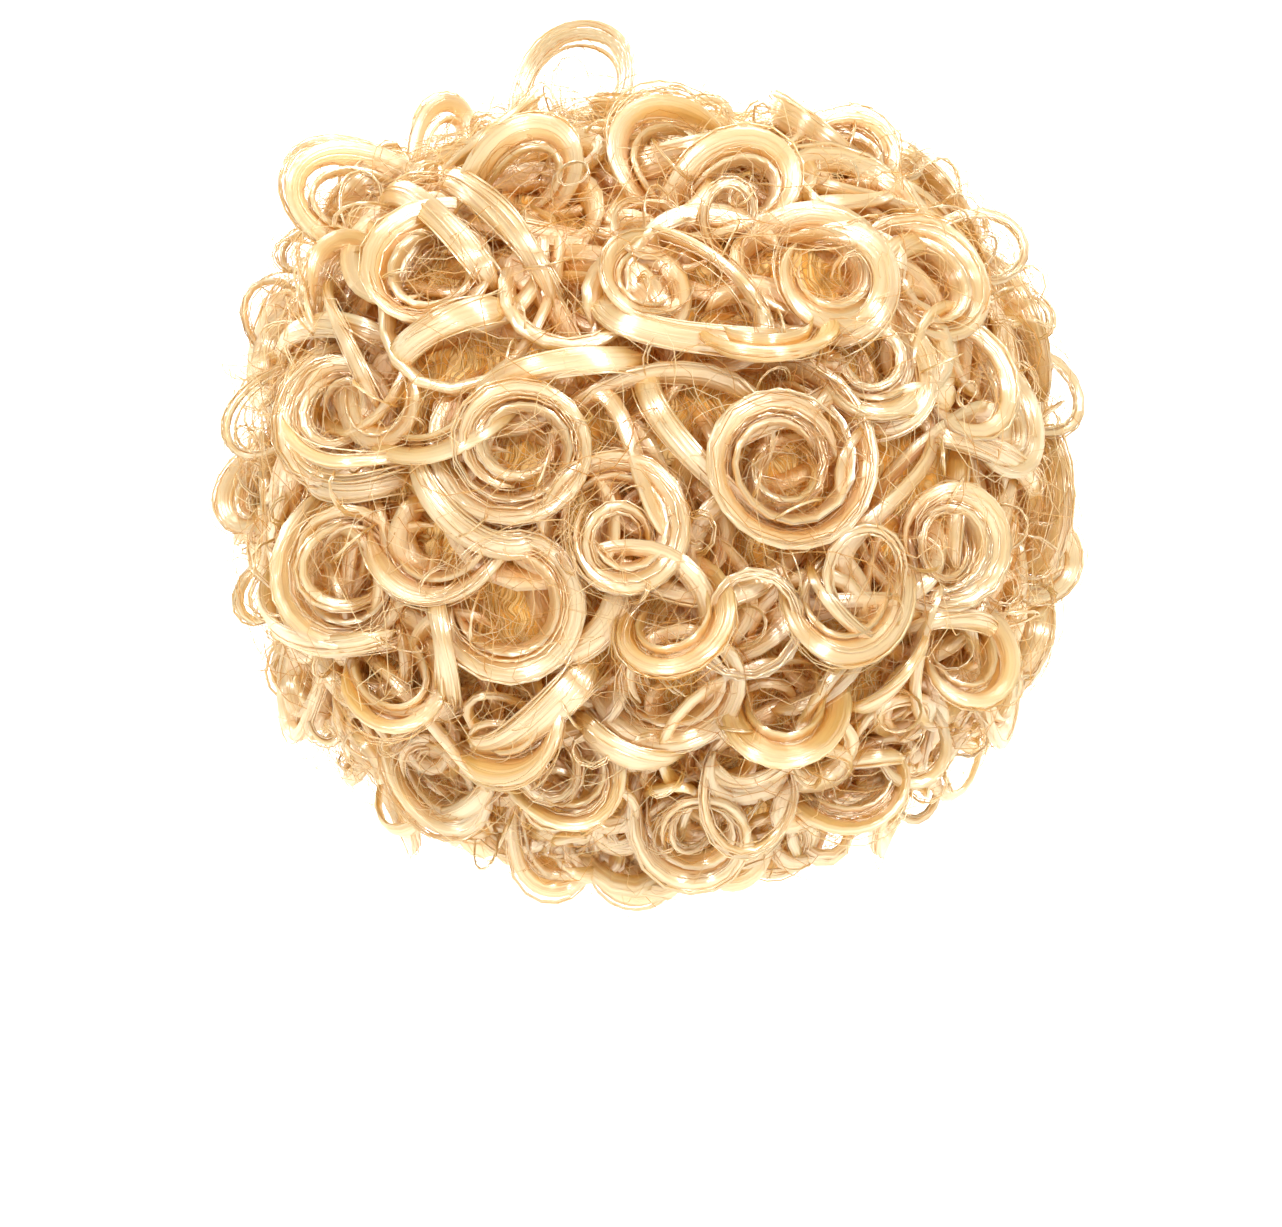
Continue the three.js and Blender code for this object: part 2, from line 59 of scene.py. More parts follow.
MM = 0.001
CAP_WALL = 1.6 * MM
BAND_WALL = 2.0 * MM
BAND_HEIGHT = 10 * MM
BAND_GAP = 0.4 * MM
HOLLOW_GAP = 1.6 * MM
RING_RADIUS = 18 * MM
LOCK_WIDTH = 12 * MM
LOCK_THICKNESS = 8.5 * MM
FLATTENED = 0.5
NARROWED = 0.86
ROOT_DIVE = 24 * MM
ROOT_FLARE = 0.45
TIP_SHRINK = 0.3
TIP_SINK = 7 * MM
BAND_TIP_SINK = 14 * MM
FLAT_ROLL = (30, 66)
TWIST = math.radians(16)
CORE = 0.93
NARROW_FROM = -115 * MM
NARROW_RUN = 80 * MM
NARROW_BY = 0.13
RIM_SHADE = 14
GOLDEN_ANGLE = 137.508
STANDING = 8 * MM
BASE_UNDER = 17 * MM
RIM_UNDER = 6 * MM
CURL_TURNS = 0.85

# Rounded bodies: middle, half sizes across X and Y, reach up, reach down, power.
HEAD = ((0, 0, -100 * MM), 76 * MM, 95 * MM, 100 * MM, 112 * MM, 2.0)
LAYER = ((0, 10 * MM, -75 * MM), 128 * MM, 136 * MM, 115 * MM, 133 * MM, 2.6)

# Hairline: bearing from straight back, then polar angles of the cap's edge and of the hair's inner and
# outer edge, in degrees.
HAIRLINE = np.array([
    (0, 138, 150, 159),
    (45, 124, 138, 150),
    (90, 106, 118, 134),
    (122, 100, 108, 121),
    (148, 76, 86, 96),
    (180, 62, 72, 85),
], float)

# Zones of hair, and the levels and bearings that part them.
CROWN_LEVEL = -22 * MM
NAPE_LEVEL = -138 * MM
BACK_BEARING = 50
SIDE_BEARING = 128
ZONES = ["crown", "back", "nape", "left", "right", "fringe"]

# The curls, as in the solid model: groups of zone, view and facing (0 square to the layer, 1 to the view).
# Columns: across, rise (shares of the curl layer's reach), ring, lock (shares of the ring radius and lock
# width), turns, start, tilt, lean (degrees), lift (share of the ring).
CURLS = [
    ("crown", "crown", 0.2, [
        (0.0, -0.06, 1.15, 1.1, 1.2, 200, 20, 45, 0.1),
        (0.04, -0.5, 1.1, 1.1, 1.2, 200, 20, 90, 0),
        (0.42, -0.3, 1.1, 1.1, -1.2, 160, 25, 0, 0),
        (-0.4, -0.32, 1.1, 1.1, 1.2, 20, 25, 180, 0),
        (0.22, 0.24, 1.1, 1.1, -1.2, 60, 20, -90, 0),
        (-0.3, 0.16, 1.1, 1.0, 1.2, 220, 20, 180, 0),
        (0.76, -0.1, 1.0, 1.1, 1.1, 40, 20, 0, 0),
        (-0.76, -0.14, 1.0, 1.1, -1.1, 140, 20, 180, 0),
        (0.7, 0.4, 1.0, 1.0, -1.2, 20, 20, 0, 0),
        (-0.72, 0.36, 1.0, 1.0, 1.2, 160, 20, 180, 0),
        (0.34, 0.6, 1.05, 1.0, 1.2, 80, 20, 90, 0),
        (-0.28, 0.66, 1.05, 1.0, -1.2, 120, 20, 90, 0),
    ]),
    ("crown", "back", 0.9, [
        (-0.17, 1.02, 0.93, 0.65, -1.0, 230, 8, 0, 0.9),
        (-0.52, 0.93, 0.6, 0.6, -1.0, 230, 25, 0, 0.5),
        (-0.31, 0.81, 0.9, 1.0, -0.9, 190, 15, -90, 0),
        (0.22, 0.77, 0.9, 1.0, -1.2, 230, 5, 0, 0),
        (0.08, 0.85, 1.18, 1.1, 0.7, 60, 10, 0, 0),
        (0.49, 0.89, 0.85, 0.9, -1.0, 150, 20, 0, 0),
        (-0.76, 0.75, 0.9, 0.9, 0.9, 10, 20, 0, 0.2),
    ]),
    ("crown", "back", 0.5, [
        (-0.53, 0.54, 1.05, 1.3, 1.3, 0, 10, 0, 0),
        (0.43, 0.53, 1.0, 1.1, -1.1, 170, 15, 0, 0),
        (0.0, 0.5, 0.75, 0.9, 0.9, 30, 10, 0, 0),
    ]),
    ("back", "back", 0.5, [
        (0.26, 0.36, 1.15, 1.0, -1.2, 180, 55, 90, 0),
        (0.32, 0.0, 1.36, 1.1, -1.4, 150, 8, 0, 0.1),
        (-0.32, 0.05, 1.1, 1.0, 1.4, 120, 8, 0, 0.1),
        (0.54, 0.28, 1.0, 0.9, -0.8, 100, 15, 0, 0),
        (-0.14, 0.27, 1.8, 1.1, -0.4, 145, 15, 90, 0),
        (-0.5, 0.27, 1.5, 1.0, 0.4, 210, 15, 90, 0),
        (-0.07, -0.16, 1.07, 0.9, -1.3, 250, 12, 0, 0),
        (0.04, -0.37, 1.0, 1.0, -1.2, 200, 45, 110, 0.3),
        (-0.34, -0.31, 1.18, 1.0, 1.0, 150, 10, 0, 0),
        (0.46, -0.3, 1.05, 1.0, -0.7, 30, 15, 90, 0.1),
        (-0.5, -0.12, 1.3, 1.0, 0.6, 190, 15, 0, 0),
    ]),
    ("nape", "back", 0.5, [
        (0.06, -0.51, 1.04, 1.0, 1.1, 180, 12, 0, 0),
        (0.32, -0.59, 1.03, 1.1, -1.2, 180, 55, 90, 0),
        (0.13, -0.86, 0.97, 0.75, 1.3, 100, 10, 0, 0.3),
        (-0.24, -0.72, 1.07, 1.0, 1.0, 200, 25, 90, 0),
        (-0.4, -0.56, 1.3, 1.2, 0.5, 240, 25, 90, 0),
        (-0.26, -0.93, 0.8, 0.9, 1.1, 90, 20, 0, 0),
        (-0.04, -0.99, 0.75, 0.8, 0.9, 160, 20, 0, 0),
        (0.36, -0.92, 0.8, 0.8, 0.9, 190, 25, 0, 0),
    ]),
    ("left", "back", 0.6, [
        (-0.78, 0.14, 1.0, 1.0, 1.3, 90, 15, 0, 0),
        (-0.8, 0.48, 0.9, 0.9, -1.0, 180, 50, 0, 0),
        (-0.77, -0.24, 1.18, 1.0, 1.2, 120, 15, 0, 0),
        (-0.66, -0.5, 1.0, 1.2, 0.9, 190, 40, 90, 0),
        (-0.58, -0.76, 0.9, 0.9, 1.1, 150, 15, 0, 0),
        (-1.02, -0.05, 0.7, 0.6, 1.0, 60, 10, 0, 0.2),
    ]),
    ("left", "left", 0.3, [
        (0.1, 0.38, 1.1, 1.1, -1.2, 140, 15, 0, 0),
        (-0.34, 0.36, 1.1, 1.1, 1.2, 30, 15, 90, 0),
        (0.12, -0.06, 1.2, 1.1, 1.3, 80, 15, 0, 0),
        (-0.3, -0.04, 1.1, 1.0, -1.2, 200, 25, 90, 0),
        (-0.12, -0.4, 1.2, 1.0, 1.2, 120, 15, 0, 0),
        (0.28, -0.5, 1.1, 1.0, -1.1, 60, 25, 90, 0),
        (0.08, -0.8, 0.9, 0.9, -1.1, 60, 25, 90, 0),
    ]),
    ("right", "back", 0.6, [
        (0.7, 0.5, 1.05, 1.0, -0.9, 150, 20, 0, 0),
        (0.74, -0.18, 1.0, 1.0, 1.3, 100, 8, 0, 0),
        (0.88, 0.12, 0.9, 0.9, -0.9, 120, 20, 0, 0),
        (0.79, -0.46, 0.85, 0.9, -1.2, 180, 30, 90, 0),
        (0.55, -0.78, 0.9, 0.9, 1.1, 180, 45, 100, 0),
        (1.0, -0.2, 0.75, 0.6, 1.0, 130, 10, 0, 0.2),
    ]),
    ("right", "right", 0.3, [
        (-0.12, 0.4, 1.1, 1.1, 1.2, 40, 15, 0, 0),
        (0.34, 0.32, 1.1, 1.1, -1.2, 150, 15, 90, 0),
        (-0.06, -0.06, 1.2, 1.1, -1.3, 100, 15, 0, 0),
        (0.32, -0.06, 1.1, 1.0, 1.2, 340, 25, 90, 0),
        (0.14, -0.4, 1.1, 1.0, -1.2, 60, 15, 0, 0),
        (-0.3, -0.5, 1.1, 1.0, 1.1, 120, 25, 90, 0),
        (-0.06, -0.82, 0.9, 0.9, 1.1, 120, 25, 90, 0),
    ]),
    ("fringe", "front", 0.4, [
        (-0.5, 0.52, 1.05, 1.1, 1.2, 60, 15, 90, 0),
        (-0.16, 0.5, 1.05, 1.1, -1.2, 120, 15, 90, 0),
        (0.2, 0.56, 1.0, 1.0, 1.2, 80, 15, 90, 0),
        (0.54, 0.48, 1.05, 1.0, -1.2, 60, 15, 90, 0),
        (-0.62, 0.16, 1.0, 1.0, -1.1, 60, 15, 0, 0),
        (-0.3, 0.2, 1.0, 1.0, 1.2, 100, 10, 0, 0),
        (0.06, 0.2, 1.0, 0.9, -1.2, 80, 10, 0, 0),
        (0.4, 0.18, 1.0, 1.0, 1.2, 120, 15, 0, 0),
        (0.7, 0.1, 1.0, 1.0, 1.1, 160, 15, 0, 0),
    ]),
]

# Thinner locks that the photograph shows between and inside the main curls, in the same columns.
THIN_CURLS = [
    ("crown", "back", 0.7, [
        (0.62, 0.86, 0.5, 0.45, 1.2, 40, 15, 0, 0.2),
        (-0.02, 0.66, 0.65, 0.6, -1.1, 120, 15, 0, 0.1),
        (0.36, 1.0, 0.5, 0.35, 1.2, 20, 15, 0, 0.3),
        (0.12, 1.03, 0.7, 0.5, -0.8, 170, 15, 0, 0.0),
        (0.82, 0.72, 0.55, 0.4, 1.1, 10, 15, 0, 0.3),
        (-0.66, 0.84, 0.5, 0.35, 1.1, 80, 15, 0, 0.3),
        (0.2, 0.7, 0.5, 0.45, -1.3, 30, 10, 0, -0.1),
    ]),
    ("back", "back", 0.6, [
        (0.32, 0.0, 0.95, 0.4, -1.5, 60, 15, 30, -0.15),
        (0.32, -0.02, 0.6, 0.3, -1.4, 200, 25, 60, -0.3),
        (-0.32, 0.05, 0.72, 0.55, 1.4, 250, 10, 0, -0.1),
        (-0.07, -0.18, 0.66, 0.6, -1.4, 90, 14, 0, -0.1),
        (0.05, 0.18, 2.6, 0.85, -0.28, 110, 12, 0, 0.05),
        (0.24, -0.36, 0.9, 0.35, 1.3, 150, 12, 0, 0.2),
        (0.53, -0.25, 0.9, 0.38, -1.2, 60, 10, 0, 0.2),
        (-0.13, 0.06, 2.4, 0.8, 0.25, 300, 10, 0, 0),
        (-0.6, 0.3, 2.2, 0.75, 0.26, 195, 15, 0, 0.1),
        (0.54, 0.28, 0.6, 0.5, -1.2, 240, 15, 0, -0.1),
    ]),
    ("nape", "back", 0.6, [
        (-0.26, -0.72, 0.62, 0.5, 1.2, 60, 12, 0, -0.1),
        (0.13, -0.86, 0.6, 0.4, 1.3, 260, 12, 0, 0.1),
        (0.28, -0.78, 0.98, 0.45, 1.1, 30, 12, 0, 0.2),
        (0.4, -0.95, 0.5, 0.45, 1.2, 200, 15, 0, 0.2),
        (0.62, -0.9, 0.42, 0.4, 1.1, 100, 12, 0, 0.2),
        (-0.5, -0.94, 0.45, 0.45, -1.1, 80, 12, 0, 0.2),
        (-0.14, -1.02, 0.5, 0.4, 1.1, 180, 12, 0, 0.1),
    ]),
    ("left", "back", 0.8, [
        (-0.78, 0.14, 0.62, 0.55, 1.4, 300, 10, 0, -0.1),
        (-0.97, 0.15, 0.8, 0.4, 0.8, 110, 10, 0, 0.1),
        (-1.0, 0.45, 0.7, 0.4, -1.1, 300, 15, 0, 0.1),
        (-0.94, -0.48, 0.45, 0.5, 1.2, 90, 15, 0, 0.3),
        (-1.01, -0.3, 0.54, 0.5, 1.2, 60, 15, 0, 0.3),
        (-0.84, -0.6, 0.5, 0.4, -1.1, 200, 15, 0, 0.3),
        (-0.9, 0.66, 0.55, 0.4, 1.1, 60, 15, 0, 0.3),
        (-0.76, -0.25, 0.75, 0.55, 1.2, 300, 15, 0, -0.1),
    ]),
    ("right", "back", 0.8, [
        (0.74, -0.2, 0.6, 0.5, 1.3, 280, 8, 0, 0.0),
        (0.79, 0.22, 0.9, 0.9, -1.1, 150, 15, 0, 0.0),
        (0.99, 0.2, 0.75, 0.4, -1.1, 170, 15, 0, 0.2),
        (0.95, 0.44, 0.57, 0.4, 1.2, 10, 15, 0, 0.3),
        (0.84, 0.6, 0.71, 0.4, -1.1, 200, 15, 0, 0.2),
        (1.0, -0.46, 0.5, 0.35, 0.7, 130, 15, 0, 0.3),
        (0.9, -0.56, 0.5, 0.4, 1.1, 240, 15, 0, 0.3),
        (0.76, -0.8, 0.5, 0.45, 1.2, 20, 15, 0, 0.3),
        (0.68, -0.68, 0.68, 0.7, -1.1, 200, 15, 0, 0.1),
    ]),
]

# Bands of hair that flow between the curls, seen from behind. Each row holds four places that the band runs
# through, as across and rise in shares of the curl layer's reach, and its lock width as a share.
BANDS = np.array([
    (-0.53, 0.85, -0.42, 0.72, -0.31, 0.6, -0.24, 0.44, 0.9),
    (-0.11, 0.49, -0.03, 0.36, 0.21, 0.32, 0.44, 0.34, 0.97),
    (-0.83, 0.53, -0.78, 0.44, -0.73, 0.32, -0.7, 0.14, 0.71),
    (-0.66, 0.26, -0.54, 0.34, -0.44, 0.39, -0.33, 0.44, 0.97),
    (-1.0, 0.28, -0.88, 0.37, -0.76, 0.38, -0.65, 0.34, 0.84),
    (-0.44, 0.14, -0.31, 0.24, -0.15, 0.27, 0.0, 0.29, 0.84),
    (-0.59, 0.09, -0.54, -0.07, -0.39, -0.19, -0.23, -0.15, 0.9),
    (-0.79, -0.45, -0.71, -0.55, -0.59, -0.59, -0.48, -0.55, 1.16),
    (-0.55, -0.29, -0.5, -0.39, -0.49, -0.49, -0.52, -0.59, 0.81),
    (-0.48, -0.68, -0.36, -0.64, -0.23, -0.56, -0.13, -0.47, 1.1),
    (-0.19, -0.61, -0.1, -0.66, 0.0, -0.69, 0.1, -0.71, 0.9),
    (-0.39, -1.02, -0.32, -1.0, -0.23, -0.98, -0.14, -0.94, 0.71),
    (0.52, -0.6, 0.57, -0.53, 0.63, -0.46, 0.71, -0.41, 0.9),
    (0.39, 0.68, 0.54, 0.59, 0.56, 0.43, 0.44, 0.34, 0.9),
    (0.66, 0.4, 0.68, 0.26, 0.65, 0.14, 0.54, 0.09, 0.71),
    (0.72, 0.09, 0.84, 0.04, 0.95, -0.03, 1.03, -0.12, 0.77),
    (-0.9, 0.09, -0.84, -0.03, -0.74, -0.06, -0.62, -0.03, 0.77),
    (-0.98, -0.23, -0.93, -0.35, -0.8, -0.42, -0.65, -0.4, 0.77),
    (-0.01, 0.27, 0.03, 0.11, 0.17, -0.05, 0.36, -0.2, 0.9),
    (0.39, -0.23, 0.43, -0.33, 0.52, -0.4, 0.59, -0.39, 0.39),
    (0.66, -0.42, 0.74, -0.36, 0.84, -0.38, 0.9, -0.45, 0.65),
    (0.13, 1.04, 0.28, 1.03, 0.39, 0.94, 0.52, 0.91, 0.84),
    (-0.7, 0.77, -0.59, 0.73, -0.46, 0.6, -0.39, 0.49, 0.84),
    (0.44, -0.82, 0.54, -0.82, 0.63, -0.76, 0.72, -0.69, 0.77),
    (-0.7, -0.72, -0.62, -0.8, -0.52, -0.82, -0.41, -0.78, 0.77),
    (0.13, -0.72, 0.23, -0.75, 0.36, -0.7, 0.44, -0.6, 0.71),
    (-1.03, 0.11, -1.06, -0.03, -1.01, -0.12, -0.9, -0.17, 0.65),
    (0.9, 0.4, 1.01, 0.31, 1.06, 0.17, 1.03, 0.03, 0.52),
])

# Rounded bodies, as whole arrays

X_AXIS, Y_AXIS, Z_AXIS = np.eye(3)


def unit(v):
    """Each vector divided by its own length."""
    return v / np.maximum(np.linalg.norm(v, axis=-1, keepdims=True), 1e-12)


def dot(a, b):
    """The dot product over the last axis, kept as an axis of one."""
    return np.sum(a * b, axis=-1, keepdims=True)


def grown(body, distance):
    """The same body with each half size longer by a distance."""
    middle, x, y, up, down, power = body
    return (middle, x + distance, y + distance, up + distance, down + distance, power)


def scaled(body, points):
    """Each point from the middle, divided by the body's half size on its side, and those half sizes."""
    middle, x, y, up, down, _ = body
    v = points - np.array(middle)
    ones = np.ones(v.shape[:-1])
    half = np.stack([ones * x, ones * y, np.where(v[..., 2] > 0, up, down)], -1)
    return v / half, half


def reach(body, points):
    """1 on the surface and less inside: the power mean of the shares of the half sizes."""
    share, _ = scaled(body, points)
    return np.sum(np.abs(share) ** body[5], axis=-1, keepdims=True) ** (1 / body[5])


def onto(body, points, share=1.0):
    """Each point moved along its line from the middle until its reach is the share."""
    middle = np.array(body[0])
    return middle + (points - middle) * share / reach(body, points)


def normal_of(body, points):
    """The outward normal: each share to the power less one, over its half size."""
    share, half = scaled(body, points)
    return unit(np.sign(share) * np.abs(share) ** (body[5] - 1) / half)


def at_angles(body, bearing, polar):
    """The surface along a direction: bearing from straight back, polar from straight up, in degrees."""
    b, p = np.radians(bearing), np.radians(polar)
    across = np.sin(p)
    direction = np.stack(np.broadcast_arrays(across * np.sin(b), across * np.cos(b), np.cos(p)), -1)
    return onto(body, direction * 0.1 + np.array(body[0]))


def bearing_of(points):
    """Bearing of each point from straight back, in degrees, positive towards +X."""
    return np.degrees(np.arctan2(points[..., 0], points[..., 1] - LAYER[0][1]))


def polar_of(points):
    """Angle of each point from straight up, in degrees, seen from the layer's middle."""
    v = points - np.array(LAYER[0])
    return np.degrees(np.arctan2(np.hypot(v[..., 0], v[..., 1]), v[..., 2]))


def hairline(column, bearing):
    """A column of the hairline at any bearing, eased between its rows as 3t squared less 2t cubed."""
    b = np.clip(np.abs(bearing), 0, 180)
    i = np.clip(np.searchsorted(HAIRLINE[:, 0], b), 1, len(HAIRLINE) - 1)
    low, high = HAIRLINE[i - 1], HAIRLINE[i]
    t = (b - low[..., 0]) / (high[..., 0] - low[..., 0])
    return low[..., column] + (high[..., column] - low[..., column]) * t * t * (3 - 2 * t)


def zone_of(points):
    """The index in ZONES of the zone that each point lies in."""
    bearing = np.abs(bearing_of(points))
    side = np.where(points[..., 0] > 0, 3, 4)
    low = np.where(points[..., 2] < NAPE_LEVEL, 2, 1)
    zone = np.where(bearing < BACK_BEARING, low, np.where(bearing < SIDE_BEARING, side, 5))
    return np.where(points[..., 2] > CROWN_LEVEL, 0, zone)


base_inner = grown(HEAD, BAND_WALL + HOLLOW_GAP)
base_outer = grown(LAYER, -BASE_UNDER)

# Curls, as whole arrays

VIEWS = {
    "back": (Y_AXIS, Z_AXIS),
    "front": (-Y_AXIS, Z_AXIS),
    "left": (X_AXIS, Z_AXIS),
    "right": (-X_AXIS, Z_AXIS),
    "crown": (Z_AXIS, -Y_AXIS),
}


def layer_reach(direction):
    """How far the curl layer reaches from its middle along one axis."""
    _, x, y, up, down, _ = LAYER
    return [x, y, up if direction[2] > 0 else down][int(np.argmax(np.abs(direction)))]


def oriented(middle, normal, out, view_right, facing, tilt, lean):
    """Ring directions: the axis goes from the normal towards out by facing, then leans over by tilt."""
    base = unit(normal * (1 - facing) + out * facing)
    right = unit(view_right - base * dot(view_right, base))
    up = np.cross(base, right)
    lean_to = right * np.cos(lean) + up * np.sin(lean)
    turn_axis = np.cross(base, lean_to)

    def turned(v):
        along = turn_axis * dot(turn_axis, v)
        return v * np.cos(tilt) + np.cross(turn_axis, v) * np.sin(tilt) + along * (1 - np.cos(tilt))

    return turned(base), turned(right), turned(up)


def characters(count, wobble):
    """What makes each lock its own: how far its ring is out of round, the roll of its flat section and the
    phase that both swing from."""
    return {
        "wobble": rng.uniform(0.3, 1, (count, 1)) * wobble,
        "roll": np.radians(rng.uniform(*FLAT_ROLL, (count, 1))),
        "phase": rng.uniform(0, 2 * math.pi, (count, 1)),
    }


def on_layer(view, across, rise):
    """Places on the curl layer at shares of its reach across and up, as a view sees them."""
    out, up = VIEWS[view]
    right = np.cross(up, out)
    up_reach = np.where(rise >= 0, layer_reach(up), layer_reach(-up))
    left = np.maximum(0, 1 - np.abs(across) ** LAYER[5] - np.abs(rise) ** LAYER[5])
    depth = left ** (1 / LAYER[5]) * layer_reach(out)
    raw = np.array(LAYER[0]) + right * across * layer_reach(right) + up * rise * up_reach + out * depth
    return onto(LAYER, raw)


def table_curls(groups):
    """The curls of a table as one dict of arrays, placed on the curl layer as the solid model places them."""
    parts = []
    for zone, view, facing, rows in groups:
        out, up = VIEWS[view]
        right = np.cross(up, out)
        across, rise, ring, lock, turns, start, tilt, lean, lift = np.array(rows, float).T[:, :, None]
        middle = on_layer(view, across, rise)
        normal = normal_of(LAYER, middle)
        tilt, lean = np.radians(tilt), np.radians(lean)
        axis, ring_right, ring_up = oriented(middle, normal, out, right, facing, tilt, lean)
        radius = ring * RING_RADIUS
        parts.append({
            "zone": np.full(len(rows), ZONES.index(zone)),
            "middle": middle + normal * lift * radius,
            "normal": normal,
            "axis": axis,
            "right": ring_right,
            "up": ring_up,
            "radius": radius,
            "turns": turns,
            "start": np.radians(start),
            "lock": lock,
            "lift": lift * radius,
            "dive": np.full_like(lock, ROOT_DIVE),
            "flare": np.full_like(lock, ROOT_FLARE),
            "shrink": np.full_like(lock, TIP_SHRINK),
            "tip": np.where(np.abs(turns) > CURL_TURNS, TIP_SINK, BAND_TIP_SINK),
            "close": np.where(np.abs(turns) > CURL_TURNS, 0.28, 0.13),
            "drape": np.ones_like(lock),
            **characters(len(rows), 0.04),
        })
    return joined(parts)


def scattered_curls(count, sink, ring, turns, tilt, lock, dive, spread=(0.0, 1.0)):
    """Random curls all over the layer, each sunk under it. Their places run down a spiral of golden-angle
    steps, a little jittered, and those between two shares of the way down to the hairline are kept."""
    bearing, polar, share = spiral_places(count)
    keep = np.flatnonzero((share > spread[0]) & (share < spread[1]))
    middle = at_angles(LAYER, bearing[keep], polar[keep])
    normal = normal_of(LAYER, middle)
    n = len(keep)

    def between(pair):
        return rng.uniform(pair[0], pair[1], (n, 1))

    hint = unit(rng.normal(size=(n, 3)))
    leaned = np.radians(between(tilt))
    axis, right, up = oriented(middle, normal, normal, hint, 0.0, leaned, rng.uniform(0, 2 * math.pi, (n, 1)))
    return {
        "zone": zone_of(middle),
        "middle": middle - normal * between(sink),
        "normal": normal,
        "axis": axis,
        "right": right,
        "up": up,
        "radius": between(ring),
        "turns": between(turns) * rng.choice([-1, 1], (n, 1)),
        "start": rng.uniform(0, 2 * math.pi, (n, 1)),
        "lock": between(lock),
        "dive": between(dive),
        "flare": between((0.1, 0.45)),
        "shrink": between((0.1, 0.45)),
        "tip": between((0, 5 * MM)),
        "close": between((0.15, 0.3)),
        "drape": np.ones((n, 1)),
        **characters(n, 0.16),
    }


def rim_curls(count, ring, lock, tilt):
    """Small curls that cover the thick rim of the hair round the face and the neck. Each lies between the
    rim's inner and outer edge, at golden-angle steps of bearing, and faces out of the rim."""
    bearing = (np.arange(count) * GOLDEN_ANGLE) % 360 - 180
    edges = [(base_inner, 2), (grown(LAYER, -RIM_UNDER), 3)]
    inner, outer = (at_angles(body, bearing, hairline(column, bearing)) for body, column in edges)
    ahead = at_angles(base_inner, bearing + 1, hairline(2, bearing + 1))
    below = at_angles(base_inner, bearing, hairline(2, bearing) + 2)
    normal = unit(np.cross(outer - inner, ahead - inner))
    normal = normal * np.sign(dot(normal, below - inner))

    def between(pair):
        return rng.uniform(pair[0], pair[1], (count, 1))

    middle = inner + (outer - inner) * between((0.1, 1.0)) - normal * between((0, 4 * MM))
    hint = unit(rng.normal(size=(count, 3)))
    leaned = np.radians(between(tilt))
    axis, right, up = oriented(middle, normal, normal, hint, 0.0, leaned, between((0, 2 * math.pi)))
    return {
        "zone": zone_of(middle),
        "middle": middle,
        "normal": normal,
        "axis": axis,
        "right": right,
        "up": up,
        "radius": between(ring),
        "turns": between((0.5, 1.3)) * rng.choice([-1, 1], (count, 1)),
        "start": between((0, 2 * math.pi)),
        "lock": between(lock),
        "dive": between((6 * MM, 12 * MM)),
        "flare": between((0.1, 0.45)),
        "shrink": between((0.1, 0.45)),
        "tip": between((0, 5 * MM)),
        "close": between((0.15, 0.3)),
        "drape": np.zeros((count, 1)),
        **characters(count, 0.16),
    }


def bands(path, lock, lift, dive):
    """Flowing bands of hair from four places each, as a dict of arrays like the curls. Their wide way lies
    nearly flat on the layer, and both ends dive under it."""
    n = len(path)
    return {
        "zone": zone_of(path.mean(axis=1)),
        "path": path,
        "lock": lock,
        "lift": lift,
        "dive": dive,
        "start": np.zeros((n, 1)),
        "close": np.full((n, 1), 0.16),
        "roll": np.radians(rng.uniform(50, 85, (n, 1))),
        "phase": rng.uniform(0, 2 * math.pi, (n, 1)),
    }


def table_bands(rows):
    """The bands of the photograph, a little over or under the curl layer by turns."""
    places = rows[:, :8].reshape(-1, 4, 2)
    path = on_layer("back", places[..., :1], places[..., 1:])
    n = len(rows)
    lift = rng.uniform(-1 * MM, 4 * MM, (n, 1))
    return bands(path, rows[:, 8:], lift, np.full((n, 1), 12 * MM))


def spiral_places(count, jitter=5):
    """Places evenly spread over the head: golden-angle steps of bearing down from the top, a little jittered.
    Returns bearings, polar angles and each place's share of the way down to the hairline."""
    step = np.arange(count)
    bearing = (step * GOLDEN_ANGLE + rng.normal(0, jitter, count)) % 360 - 180
    polar = np.degrees(np.arccos(np.clip(1 - 1.95 * (step + rng.uniform(0, 1, count)) / count, -1, 1)))
    return bearing, polar, polar / hairline(3, bearing)


def scattered_bands(count, sink, length, bend, lock):
    """Random bands all over the layer: each runs a length along a random direction and swings to both sides
    or one by a bend."""
    bearing, polar, share = spiral_places(count)
    keep = share < 0.88
    middle = at_angles(LAYER, bearing[keep], polar[keep])
    n = len(middle)
    normal = normal_of(LAYER, middle)
    along = unit(np.cross(normal, unit(rng.normal(size=(n, 3)))))
    aside = np.cross(normal, along)
    run = rng.uniform(*length, (n, 1)) * along
    swing = rng.uniform(*bend, (n, 1)) * aside
    other = rng.choice([-1, 1], (n, 1))
    inner = [middle - run / 6 + swing, middle + run / 6 + swing * other]
    path = np.stack([middle - run / 2, *inner, middle + run / 2], 1)
    return bands(path, rng.uniform(*lock, (n, 1)), -rng.uniform(*sink, (n, 1)), np.full((n, 1), 9 * MM))


def within(curls, most, past):
    """The curls of a group that stay inside a share of the curl layer and no further past the hairline than
    some degrees."""
    points = curl_line(curls, np.linspace(0, 1, 14)[None])[0]
    high = reach(LAYER, points)[..., 0].max(axis=1)
    low = (polar_of(points) - hairline(3, bearing_of(points))).max(axis=1)
    return chosen(curls, (high < most) & (low < past))


def chosen(curls, index):
    """Some of the curls, by index or mask."""
    return {key: values[index] for key, values in curls.items()}


def joined(groups):
    """Several groups of curls as one."""
    return {key: np.concatenate([group[key] for group in groups]) for key in groups[0]}


